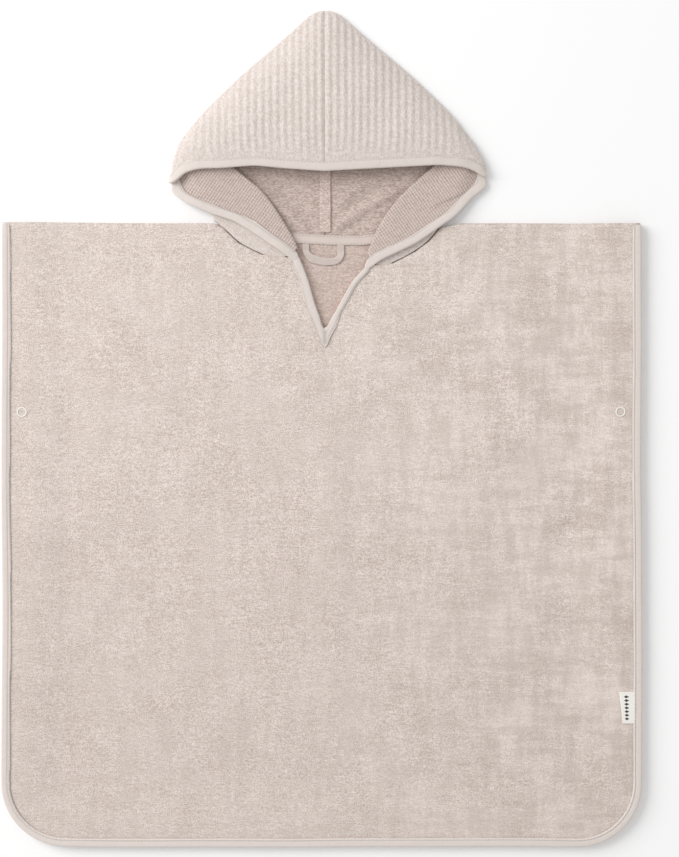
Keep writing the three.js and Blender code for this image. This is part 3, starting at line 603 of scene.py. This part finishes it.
# Each material's maker, and what the maker is told besides the name and the colours.
MAKERS = {
    "body terry": (body_terry, {}),
    "inside terry": (looped_terry, INSIDE),
    "seam strip": (looped_terry, SEAM_STRIP),
    "ribbed terry": (ribbed_terry, {}),
    "binding tape": (woven_tape, {}),
    "neck tape": (woven_tape, {"colour": "inner_tape"}),
    "loop tape": (woven_tape, {"colour": "inner_tape", "shade": 0.88}),
    "sewing thread": (twisted_thread, {}),
    "label satin": (label_satin, {}),
    "snap plastic": (snap_plastic, {}),
}


def material_of(name):
    """The material of that name, which is made on first use."""
    maker, details = MAKERS[name]
    made = bpy.data.materials.get(name)
    return made or maker(name, bpy.context.scene.poncho_cloth, **details)


def copy_of(node):
    """A merged copy of a CAD node's mesh."""
    bm = bmesh.new()
    bm.from_mesh(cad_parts[node].data)
    bmesh.ops.remove_doubles(bm, verts=bm.verts, dist=MERGE)
    return bm


def refine(bm, longest, rounds=4):
    """Cuts long edges in half, a few times over."""
    for _ in range(rounds):
        long = [edge for edge in bm.edges if edge.calc_length() > longest]
        bmesh.ops.subdivide_edges(bm, edges=long, cuts=1, use_grid_fill=True)
        wide = [face for face in bm.faces if len(face.verts) > 4]
        bmesh.ops.triangulate(bm, faces=wide, quad_method="SHORT_EDGE")


def cut_out(outline, spacing):
    """A flat piece of cloth with that outline, ruled into small squares."""
    bm = bmesh.new()
    bm.faces.new([bm.verts.new((*point, 0.0)) for point in outline])
    for axis in (0, 1):
        values = [point[axis] for point in outline]
        count = int((max(values) - min(values)) / spacing)
        for step in range(1, count + 1):
            place, normal = Vector((0.0, 0.0, 0.0)), Vector((0.0, 0.0, 0.0))
            place[axis] = min(values) + (max(values) - min(values)) * step / (count + 1)
            normal[axis] = 1.0
            bmesh.ops.bisect_plane(
                bm, geom=bm.verts[:] + bm.edges[:] + bm.faces[:], plane_co=place, plane_no=normal,
                dist=spacing * 0.02,
            )
    bmesh.ops.triangulate(bm, faces=[face for face in bm.faces if len(face.verts) > 4])
    return bm


def drop_onto(bm, node):
    """Lifts a flat bmesh to the upper face of a CAD node."""
    solid = copy_of(node)
    tree = BVHTree.FromBMesh(solid)
    solid.free()
    down = Vector((0.0, 0.0, -1.0))
    for vertex in bm.verts:
        hit = tree.ray_cast(Vector((vertex.co.x, vertex.co.y, 0.1)), down)[0]
        if hit is None:
            hit = tree.find_nearest(vertex.co + Vector((0.0, 0.0, 0.02)))[0]
        vertex.co.z = hit.z


def give_thickness(bm, thickness):
    """A closed wall from an upper face, its underside that far below it."""
    made = bmesh.ops.extrude_face_region(bm, geom=bm.faces[:], use_keep_orig=True)["geom"]
    lower = [item for item in made if isinstance(item, bmesh.types.BMVert)]
    bmesh.ops.translate(bm, verts=lower, vec=(0.0, 0.0, -thickness))
    bmesh.ops.recalc_face_normals(bm, faces=bm.faces)


def mesh_of(name, bm):
    """A mesh from a bmesh, which is freed."""
    mesh = bpy.data.meshes.new(name)
    bm.to_mesh(mesh)
    bm.free()
    return mesh


def placed(name, data):
    """A new object in the scene for that mesh, light or camera."""
    made = bpy.data.objects.new(name, data)
    bpy.context.scene.collection.objects.link(made)
    return made


def finished(bm, name, material, node=None):
    """An object from a bmesh, riding on the body; it stands for a CAD node where one is named."""
    for face in bm.faces:
        face.smooth = True
    for vertex in bm.verts:
        vertex.co.xy += drift(vertex.co)
        vertex.co.z = max(vertex.co.z, TABLE_GAP)
    piece = placed(name, mesh_of(name, bm))
    piece.data.materials.append(material_of(material))
    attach(piece, "root")
    if node:
        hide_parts(node)
    return piece


def subdivided(bm, levels):
    """The bmesh after that many rounds of smooth subdivision."""
    mesh = mesh_of("draft", bm)
    draft = placed("draft", mesh)
    modifier = draft.modifiers.new("smooth", "SUBSURF")
    modifier.levels = modifier.render_levels = levels
    graph = bpy.context.evaluated_depsgraph_get()
    smooth = bmesh.new()
    smooth.from_object(draft, graph)
    bpy.data.objects.remove(draft)
    bpy.data.meshes.remove(mesh)
    return smooth


def one_side(seed, limit):
    """Vertices on the seed face's side of a cloth wall: its rim turns more sharply than the limit."""
    reached, front = {seed}, [seed]
    while front:
        face = front.pop()
        for edge in face.edges:
            for other in edge.link_faces:
                if other not in reached and edge.calc_face_angle(0.0) < limit:
                    reached.add(other)
                    front.append(other)
    return {vertex for face in reached for vertex in face.verts}


def nearest_on(line, point):
    """The nearest point to a point on a run of straight stretches, both in the plane."""
    best = line[0]
    for start, end in zip(line, line[1:]):
        run = end - start
        share = min(1.0, max(0.0, (point - start).dot(run) / run.length_squared))
        best = min(best, start + run * share, key=lambda found: (found - point).length)
    return best


def distance_to(line, point):
    """Distance from a point to that run."""
    return (nearest_on(line, point) - point).length


def swell(point):
    """Soft uneven swells of cloth that was smoothed flat by hand, about -1 to 1."""
    broad = noise.noise(Vector((point.x * 9.0, point.y * 7.0, 4.2)))
    small = noise.noise(Vector((point.x * 31.0, point.y * 24.0, 9.7)))
    return broad + 0.35 * small


def creased(point, creases):
    """Height that the creases add at a point."""
    height = 0.0
    for crease in creases:
        start, end = to_metres([crease[:2], crease[2:4]])
        depth, width = crease[4] * MM, crease[5] * MM
        away = distance_to([start, end], point)
        if away < width * 3:
            height += depth * math.exp(-((away / width) ** 2))
    return height


def drift(point):
    """How far the cloth lies from its drawn place: its edges waver a little."""
    place = Vector((point.x * 8.0, point.y * 8.0, 1.7))
    return Vector((noise.noise(place), noise.noise(place + Vector((0.0, 0.0, 9.0))))) * WAVER


def inset_from_edge(point):
    """How far a point lies in from the body's bound edge."""
    side, bottom = BODY_HALF_WIDTH - abs(point.x), point.y - HEM
    if side < BODY_CORNER and bottom < BODY_CORNER:
        return BODY_CORNER - math.hypot(BODY_CORNER - side, BODY_CORNER - bottom)
    return min(side, bottom)


class PONCHO_OT_body_panels(bpy.types.Operator):
    """Front and back panel, smoothed and gently uneven"""

    bl_idname = "poncho.body_panels"
    bl_label = "Body panels"

    def execute(self, context):
        cloth = context.scene.poncho_cloth
        left, right = (
            [Vector((point.x, min(point.y - NECK_GAP, SHOULDER))) for point in to_metres(neckline)]
            for neckline in (NECKLINE_LEFT, NECKLINE_RIGHT)
        )
        opening = left + to_metres(SLIT_LEFT) + to_metres(SLIT_RIGHT)[1:] + right[::-1]
        back_neck = to_metres(BACK_NECK)
        # The back panel shows only inside the slit, in inside terry, whose darker colour is partly
        # painted shade.
        self.panel("back_panel", back_neck[::-1], cloth, "inside terry", ["floor"])
        self.panel("front_panel", opening[::-1], cloth, "body terry", ["back_panel_cloth"])
        return {"FINISHED"}

    def panel(self, node, top, cloth, material, under):
        """One panel, ruled into squares and laid over its CAD node."""
        bm = cut_out(top + body_edge(TAPE_NOSE, SHOULDER), cloth.body_grain)
        drop_onto(bm, node)
        inner = [v for v in bm.verts if inset_from_edge(v.co.xy) > HELD_EDGE]
        for _ in range(6):
            bmesh.ops.smooth_vert(bm, verts=inner, factor=0.5, use_axis_z=True)
        if node == "front_panel":
            for vertex in bm.verts:
                point = vertex.co.xy
                free = smooth_step(HELD_EDGE, 0.05, inset_from_edge(point))
                free *= smooth_step(HELD_EDGE, 0.06, distance_to(top, point))
                free *= smooth_step(0.004, 0.03, SHOULDER - point.y)
                rise = cloth.swell * (0.6 + swell(point)) + creased(point, CREASES)
                vertex.co.z += free * rise
        give_thickness(bm, BODY_CLOTH)
        piece = finished(bm, node + "_cloth", material, node)


class PONCHO_OT_hood(bpy.types.Operator):
    """Both halves of the hood with their ribs"""

    bl_idname = "poncho.hood"
    bl_label = "Hood"

    def execute(self, context):
        for side, sign in (("left", -1), ("right", 1)):
            node = f"hood_{side}"
            bm = self.marked(node)
            refine(bm, context.scene.poncho_cloth.hood_grain, 2)
            bm = subdivided(bm, 2)
            bm.normal_update()
            self.shape(bm, sign, (RIB_SPAN[side] - RIB_START) / RIBS_PER_SIDE)
            piece = finished(bm, node + "_cloth", "ribbed terry", node)
        return {"FINISHED"}

    def marked(self, node):
        """A copy of the CAD node with the cloth's outer side marked."""
        bm = copy_of(node)
        outside = bm.verts.layers.float.new("outside")
        level = [face for face in bm.faces if face.normal.z > LEVEL]
        seed = max(level, key=lambda face: face.calc_center_median().z)
        outer = one_side(seed, math.radians(60))
        for vertex in bm.verts:
            vertex[outside] = float(vertex in outer)
        return bm

    def shape(self, bm, sign, pitch):
        """Ribs, swells, creases and the closed seam; the marks tell the material what shows."""
        rib_mark, lapel_mark, left_mark = (
            bm.verts.layers.float.new(name) for name in ("rib", "lapel", "left")
        )
        outside_mark = bm.verts.layers.float["outside"]
        for vertex in bm.verts:
            out = sign * (vertex.co.x - HOOD_MIDDLE)
            up = vertex.co.y - SHOULDER
            outside = vertex[outside_mark] > 0.5
            rib = 0.5 - 0.5 * math.cos(math.tau * (out - RIB_START) / pitch)
            # The rib mark also tells the material where to paint shade into the rib hollows.
            vertex[rib_mark] = rib
            lapel = smooth_step(0.0035, 0.006, vertex.co.z)
            vertex[lapel_mark] = lapel * float(up < LAPELS_UP_TO and not outside)
            vertex[left_mark] = float(sign < 0)
            upper = outside and vertex.normal.z > 0.25 and up > RIBS_FROM
            if upper:
                vertex.co += vertex.normal * (RIB_RISE * (rib ** 0.6 - 0.5))
            bare = smooth_step(0.001, 0.02, out) * smooth_step(0.0025, 0.005, vertex.co.z)
            uneven = noise.noise(Vector((out * 34.0, up * 22.0, sign * 3.0)))
            vertex.co.z += HOOD_SWELL * bare * uneven
            rear = not outside and vertex.co.z < REAR_WALL_TOP
            if rear and REAR_WALL_SPAN[0] < out < REAR_WALL_SPAN[1]:
                vertex.co.z += max(creased(vertex.co.xy, INSIDE_CREASES), -DEEPEST_CREASE)
            vertex.co.x -= sign * SEAM_CLOSED * (1.0 - smooth_step(0.0002, 0.0022, out))
            if upper:
                vertex.co.z -= SEAM_DIP * (1.0 - smooth_step(0.0, 0.0035, out))
            round_corner(vertex, sign)


def round_corner(vertex, sign):
    """Takes the point off the layer above where the hood folds at the mouth's corner."""
    pull(vertex, [CORNER_PULLS[sign]])


def bell(value, middle, width):
    """A soft bump of height 1."""
    return math.exp(-(((value - middle) / width) ** 2))


def sewn_down(vertex, inset, seam):
    """Presses a tape's inner side onto the cloth: a groove where the needle went, then a lip."""
    if vertex.normal.z < UP_FACING:
        return
    groove, lip = (bell(inset, place, CREST_WIDTH) for place in (GROOVE_AT, LIP_AT))
    press = PRESSED * smooth_step(GROOVE_AT, GROOVE_AT + 0.0025, inset)
    vertex.co -= vertex.normal * (press + GROOVE_DEPTH * groove - LIP_HEIGHT * lip)
    # The seam mark: painted shade in the groove, painted highlight on the lip.
    vertex[seam] = groove - lip


def pull(vertex, pulls):
    """Draws a vertex along, for each pull by its place, reach and move in millimetres."""
    for place, reach, move in pulls:
        far = (vertex.co.xy - to_metres([place])[0]).length
        vertex.co += Vector(move) * MM * (1.0 - smooth_step(0.0, reach * MM, far))


class PONCHO_OT_bindings(bpy.types.Operator):
    """Tape folded round every bound edge"""

    bl_idname = "poncho.bindings"
    bl_label = "Bindings"

    def execute(self, context):
        for node, (width, length, held, under) in TAPES.items():
            bm = copy_of(node)
            refine(bm, 0.03, 2)
            bm = subdivided(bm, 2)
            bm.normal_update()
            # Each tape's seam mark carries its painted groove shade and lip highlight.
            getattr(self, node)(bm, bm.verts.layers.float.new("seam"))
            for vertex in bm.verts:
                vertex.co.z += noise.noise(vertex.co * 90.0) * PUCKER_HEIGHT
            piece = finished(bm, node + "_tape", "binding tape", node)
        return {"FINISHED"}

    def front_binding(self, bm, seam):
        """Sewn down round the sides and the hem."""
        for vertex in bm.verts:
            sewn_down(vertex, inset_from_edge(vertex.co.xy), seam)

    back_binding = front_binding

    def hood_binding(self, bm, seam):
        """The ends on the lapels turn down towards the slit."""
        line = to_metres(HOOD_EDGE)
        for vertex in bm.verts:
            sewn_down(vertex, distance_to(line, vertex.co.xy), seam)
            round_corner(vertex, math.copysign(1, vertex.co.x))
            pull(vertex, HOOD_TAPE_PULLS)

    def slit_binding(self, bm, seam):
        """The right side is drawn narrower, the foot mitred and each upper end led to a lapel."""
        left, right = to_metres(SLIT_LEFT), to_metres(SLIT_RIGHT)
        foot = right[0]
        for vertex in bm.verts:
            sewn_down(vertex, distance_to(left + right[1:], vertex.co.xy), seam)
            if vertex.co.x > foot.x + 0.002:
                above = smooth_step(0.0035, 0.0165, vertex.co.y - foot.y)
                nearest = nearest_on(right, vertex.co.xy)
                vertex.co.xy = vertex.co.xy.lerp(nearest, NARROWED * above)
            pull(vertex, SLIT_TAPE_PULLS)
            if vertex.co.y < foot.y + 0.004 and vertex.normal.z > UP_FACING:
                mitre = bell(vertex.co.x, foot.x + 0.0004, MITRE_WIDTH)
                vertex.co.z -= MITRE_DEPTH * mitre
                # Painted shade along the mitre's groove.
                vertex[seam] = max(vertex[seam], 1.6 * mitre)


class PONCHO_OT_neck_tapes(bpy.types.Operator):
    """Tapes inside the neck and the hanging loop"""

    bl_idname = "poncho.neck_tapes"
    bl_label = "Neck tapes and hanging loop"

    def execute(self, context):
        middle = to_metres(NECK_TAPE)
        for node, (material, flat, area, under) in INNER_TAPES.items():
            bm = copy_of(node)
            refine(bm, 0.0024, 5)
            bm = subdivided(bm, 1)
            # The seam mark carries painted shade and a painted highlight.
            seam = bm.verts.layers.float.new("seam")
            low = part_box(node)[0]
            for vertex in bm.verts:
                vertex.co.z += noise.noise(vertex.co * 130.0) * INNER_PUCKER_HEIGHT
                if node == "hanger_loop":
                    vertex[seam] = self.lay_loop(vertex, low.y)
                elif node == "neck_tape":
                    # Painted shade along both rows of the neck tape's stitches.
                    vertex[seam] = bell(distance_to(middle, vertex.co.xy), NECK_ROW, 0.0009)
            piece = finished(bm, node + "_cloth", material, node)
        return {"FINISHED"}

    def lay_loop(self, vertex, low):
        """Tilts the hanging loop's lower run, more to the left; marks a painted highlight along its
        upper edge.
        """
        y = vertex.co.y - low
        inner = min(1.0, y / LOOP_TAPE)
        leftwards = 1.0 - smooth_step(-0.018, 0.006, vertex.co.x)
        lower, upper = (
            right + more * leftwards for right, more in (LOOP_LOWER_EDGE, LOOP_UPPER_EDGE)
        )
        rise = lower * (1.0 - inner) + upper * inner
        lower_run = 1.0 - smooth_step(0.0085, 0.0150, y)
        vertex.co.y += rise * lower_run + LOOP_SHIFT * (1.0 - lower_run)
        vertex.co.z += LOOP_TILT * inner * lower_run
        # A negative seam mark paints a highlight along the loop's upper edge.
        return -0.8 * bell(inner, 1.0, 0.12) * lower_run


class PONCHO_OT_label(bpy.types.Operator):
    """Woven label with a plain row of diamonds"""

    bl_idname = "poncho.label"
    bl_label = "Label"

    def execute(self, context):
        bm = copy_of("label")
        refine(bm, 0.0018)
        low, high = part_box("label")
        middle, height = (low + high) / 2, high.y - low.y
        along, across = (bm.verts.layers.float.new(name) for name in ("along", "across"))
        for vertex in bm.verts:
            vertex[along] = (vertex.co.y - middle.y) / DIAMOND_PITCH
            vertex[across] = (vertex.co.x - middle.x) / DIAMOND_HALF_WIDTH
            vertex.co.x += LABEL_FLARE * smooth_step(middle.x, high.x, vertex.co.x)
            upper = (vertex.co.y - low.y) / height
            vertex.co.x -= LABEL_LEAN * upper * smooth_step(high.x, low.x, vertex.co.x)
            vertex.co.y += LABEL_SHIFT
            edge = abs(vertex.co.y - middle.y) / height
            vertex.co.z += LABEL_BOW * math.cos(math.tau * edge)
        piece = finished(bm, "label_cloth", "label satin", node="label")
        return {"FINISHED"}


class PONCHO_OT_snaps(bpy.types.Operator):
    """Ring snaps at both sides"""

    bl_idname = "poncho.snaps"
    bl_label = "Snaps"

    def execute(self, context):
        for side in ("left", "right"):
            node = f"snap_{side}_front_ring"
            low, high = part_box(node)
            middle = (low + high) / 2
            bm = bmesh.new()
            bmesh.ops.create_circle(bm, segments=12, radius=RING_THICKNESS / 2)
            bmesh.ops.scale(bm, verts=bm.verts, vec=(1.1, 0.85, 1.0))
            upright = Matrix.Rotation(math.radians(90), 3, "X")
            bmesh.ops.rotate(bm, verts=bm.verts, cent=(0, 0, 0), matrix=upright)
            bmesh.ops.translate(bm, verts=bm.verts, vec=(RING_RADIUS, 0.0, 0.0))
            bmesh.ops.spin(
                bm, geom=bm.verts[:] + bm.edges[:], cent=(0, 0, 0), axis=(0, 0, 1),
                angle=math.tau, steps=48, use_merge=True,
            )
            bmesh.ops.remove_doubles(bm, verts=bm.verts, dist=MERGE)
            bmesh.ops.recalc_face_normals(bm, faces=bm.faces)
            bmesh.ops.translate(bm, verts=bm.verts, vec=(middle.x, middle.y, low.z - RING_SINK))
            finished(bm, f"snap_{side}_front_ring_moulded", "snap plastic", node)
            for hidden in ("socket", "stud", "back_ring"):
                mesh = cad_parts[f"snap_{side}_{hidden}"].data
                mesh.materials.clear()
                mesh.materials.append(material_of("snap plastic"))
        return {"FINISHED"}


def offset(line, distance):
    """A run of points moved sideways, to the left of its own direction."""
    moved = []
    for index, point in enumerate(line):
        before, after = line[max(0, index - 1)], line[min(len(line) - 1, index + 1)]
        along = (after - before).normalized()
        moved.append(point + Vector((-along.y, along.x)) * distance)
    return moved


def rounded(line):
    """The run with its corners cut, twice over."""
    for _ in range(2):
        cut = [line[0]]
        for start, end in zip(line, line[1:]):
            cut += [start.lerp(end, 0.25), start.lerp(end, 0.75)]
        line = cut + [line[-1]]
    return line


def body_edge(inset, top=SHOULDER - 0.002):
    """The body's edge from the left shoulder round the hem to the right one, moved inwards."""
    half, radius = BODY_HALF_WIDTH - inset, BODY_CORNER - inset
    line = [Vector((-half, top))]
    for side, first, last in ((-1, 180, 270), (1, 270, 360)):
        centre = Vector((side * (BODY_HALF_WIDTH - BODY_CORNER), HEM + BODY_CORNER))
        for step in range(13):
            angle = math.radians(first + (last - first) * step / 12)
            line.append(centre + Vector((math.cos(angle), math.sin(angle))) * radius)
    line.append(Vector((half, top)))
    return line


def stitches(line, surface, sewing):
    """Small threads along a run of points, each lying on the surface below it."""
    bm = bmesh.new()
    pattern = stitch_mesh()
    step = sewing.stitch + sewing.gap
    travelled = 0.0
    for start, end in zip(line, line[1:]):
        run = end - start
        length = run.length
        if length < MERGE:
            continue
        ahead = run / length
        while travelled + sewing.stitch / 2 < length:
            middle = start + ahead * (travelled + sewing.stitch / 2)
            travelled += step
            tips = [middle + ahead * sewing.stitch * way for way in (-0.5, 0.5)]
            hits = [surface.ray_cast(Vector((*tip, 0.05)), Vector((0, 0, -1)))[0] for tip in tips]
            if None in hits or abs(hits[0].z - hits[1].z) > STEEPEST_STITCH:
                continue
            add_thread(bm, pattern, *hits, sewing.thread)
        travelled -= length
    return bm


def stitch_mesh():
    """One stitch of unit length: a six-sided thread that tapers at both ends."""
    bm = bmesh.new()
    bmesh.ops.create_uvsphere(bm, u_segments=6, v_segments=4, radius=0.5)
    lying = Matrix.Rotation(math.radians(90), 3, "Y")
    bmesh.ops.rotate(bm, verts=bm.verts, cent=(0, 0, 0), matrix=lying)
    return mesh_of("stitch", bm)


def add_thread(bm, pattern, start, end, thickness):
    """A copy of the stitch from one point to the other, a little above the cloth."""
    run = end - start
    size = Matrix.Diagonal((run.length, thickness, thickness * 0.8, 1.0))
    centre = (start + end) / 2 + Vector((0, 0, STITCH_LIFT + thickness * 0.2))
    shape = Matrix.Translation(centre) @ run.to_track_quat("X", "Z").to_matrix().to_4x4() @ size
    copy = pattern.copy()
    copy.transform(shape)
    bm.from_mesh(copy)
    bpy.data.meshes.remove(copy)


def surface_of(names):
    """A search tree over the named pieces' meshes together."""
    bm = bmesh.new()
    for name in names:
        bm.from_mesh(bpy.data.objects[name].data)
    tree = BVHTree.FromBMesh(bm)
    bm.free()
    return tree


class PONCHO_OT_topstitches(bpy.types.Operator):
    """Topstitches along the bindings, the neck tape and the shoulders"""

    bl_idname = "poncho.topstitches"
    bl_label = "Topstitches"

    def execute(self, context):
        panel, tape = "front_panel_cloth", "slit_binding_tape"
        hood = ("hood_binding_tape", "hood_left_cloth", "hood_right_cloth")
        hood_edge = rounded(to_metres(HOOD_EDGE))
        row = SHOULDER - SHOULDER_ROW
        shoulders = [[Vector((x, row)) for x in ends] for ends in SHOULDER_ROWS]
        neck = to_metres(NECK_TAPE)
        for name, line, names in (
            ("edge", body_edge(EDGE_ROW), ("front_binding_tape", panel)),
            ("hood", offset(hood_edge, TAPE_ROW), hood),
            ("slit_left", offset(to_metres(SLIT_LEFT), -TAPE_ROW), (tape, panel)),
            ("slit_right", offset(to_metres(SLIT_RIGHT), -TAPE_ROW), (tape, panel)),
            ("shoulder_left", shoulders[0], (panel,)),
            ("shoulder_right", shoulders[1], (panel,)),
            ("neck_upper", offset(neck, NECK_ROW), ("neck_tape_cloth",)),
            ("neck_lower", offset(neck, -NECK_ROW), ("neck_tape_cloth",)),
        ):
            bm = stitches(line, surface_of(names), context.scene.poncho_sewing)
            finished(bm, name + "_stitches", "sewing thread")
        return {"FINISHED"}


class PONCHO_OT_stage(bpy.types.Operator):
    """Floor, room light, main light and the camera straight above"""

    bl_idname = "poncho.stage"
    bl_label = "Stage"

    def execute(self, context):
        scene = context.scene
        stage = scene.poncho_stage
        bm = bmesh.new()
        bmesh.ops.create_grid(bm, x_segments=1, y_segments=1, size=FLOOR_REACH)
        floor = placed("floor", mesh_of("floor", bm))
        material = bpy.data.materials.new("pale floor")
        material.use_nodes = True
        shader = material.node_tree.nodes["Principled BSDF"]
        shader.inputs["Base Color"].default_value = rgba(stage.floor)
        shader.inputs["Roughness"].default_value = 0.9
        shader.inputs["Specular IOR Level"].default_value = 0.0
        floor.data.materials.append(material)

        world = bpy.data.worlds.new("room")
        world.use_nodes = True
        background = world.node_tree.nodes["Background"]
        background.inputs["Color"].default_value = (1.0, 1.0, 1.0, 1.0)
        background.inputs["Strength"].default_value = stage.fill
        scene.world = world

        data = bpy.data.lights.new("main light", "AREA")
        data.energy = stage.key_power
        data.size = LIGHT_SIZE
        lamp = placed("main light", data)
        lamp.location = LIGHT_PLACE
        lamp.rotation_mode = "QUATERNION"
        lamp.rotation_quaternion = (-Vector(LIGHT_PLACE)).to_track_quat("-Z", "Y")

        data = bpy.data.cameras.new("camera")
        camera = placed("camera", data)
        camera.location = (*CAMERA_AT, stage.camera_height)
        data.type = "PERSP"
        data.sensor_width = 36.0
        data.lens = data.sensor_width * stage.camera_height / stage.picture_height
        data.clip_start, data.clip_end = 0.01, 50.0
        scene.camera = camera
        scene.view_settings.view_transform = "Standard"
        return {"FINISHED"}


OPERATORS = (
    PONCHO_OT_stage,
    PONCHO_OT_body_panels,
    PONCHO_OT_hood,
    PONCHO_OT_bindings,
    PONCHO_OT_neck_tapes,
    PONCHO_OT_label,
    PONCHO_OT_snaps,
    PONCHO_OT_topstitches,
)


class PONCHO_PT_panel(bpy.types.Panel):
    """Settings and pieces of the poncho"""

    bl_idname = "PONCHO_PT_panel"
    bl_label = "Poncho"
    bl_space_type = "VIEW_3D"
    bl_region_type = "UI"
    bl_category = "Poncho"

    def draw(self, context):
        layout = self.layout
        for setting in SETTINGS:
            group, box = getattr(context.scene, setting), layout.box()
            for name in group.__annotations__:
                box.prop(group, name)
        for operator in OPERATORS:
            layout.operator(operator.bl_idname)


SETTINGS = {"poncho_cloth": PonchoCloth, "poncho_sewing": PonchoSewing, "poncho_stage": PonchoStage}


def register():
    """Adds the settings, operators and panel."""
    for item in (*SETTINGS.values(), *OPERATORS, PONCHO_PT_panel):
        bpy.utils.register_class(item)
    for name, group in SETTINGS.items():
        setattr(bpy.types.Scene, name, bpy.props.PointerProperty(type=group))


def unregister():
    """Takes them away again."""
    for name in SETTINGS:
        delattr(bpy.types.Scene, name)
    for item in (PONCHO_PT_panel, *reversed(OPERATORS), *reversed(list(SETTINGS.values()))):
        bpy.utils.unregister_class(item)


def main():
    """Builds every piece in the frame."""
    register()
    for operator in OPERATORS:
        group, name = operator.bl_idname.split(".")
        getattr(getattr(bpy.ops, group), name)()


if __name__ == "__main__":
    main()
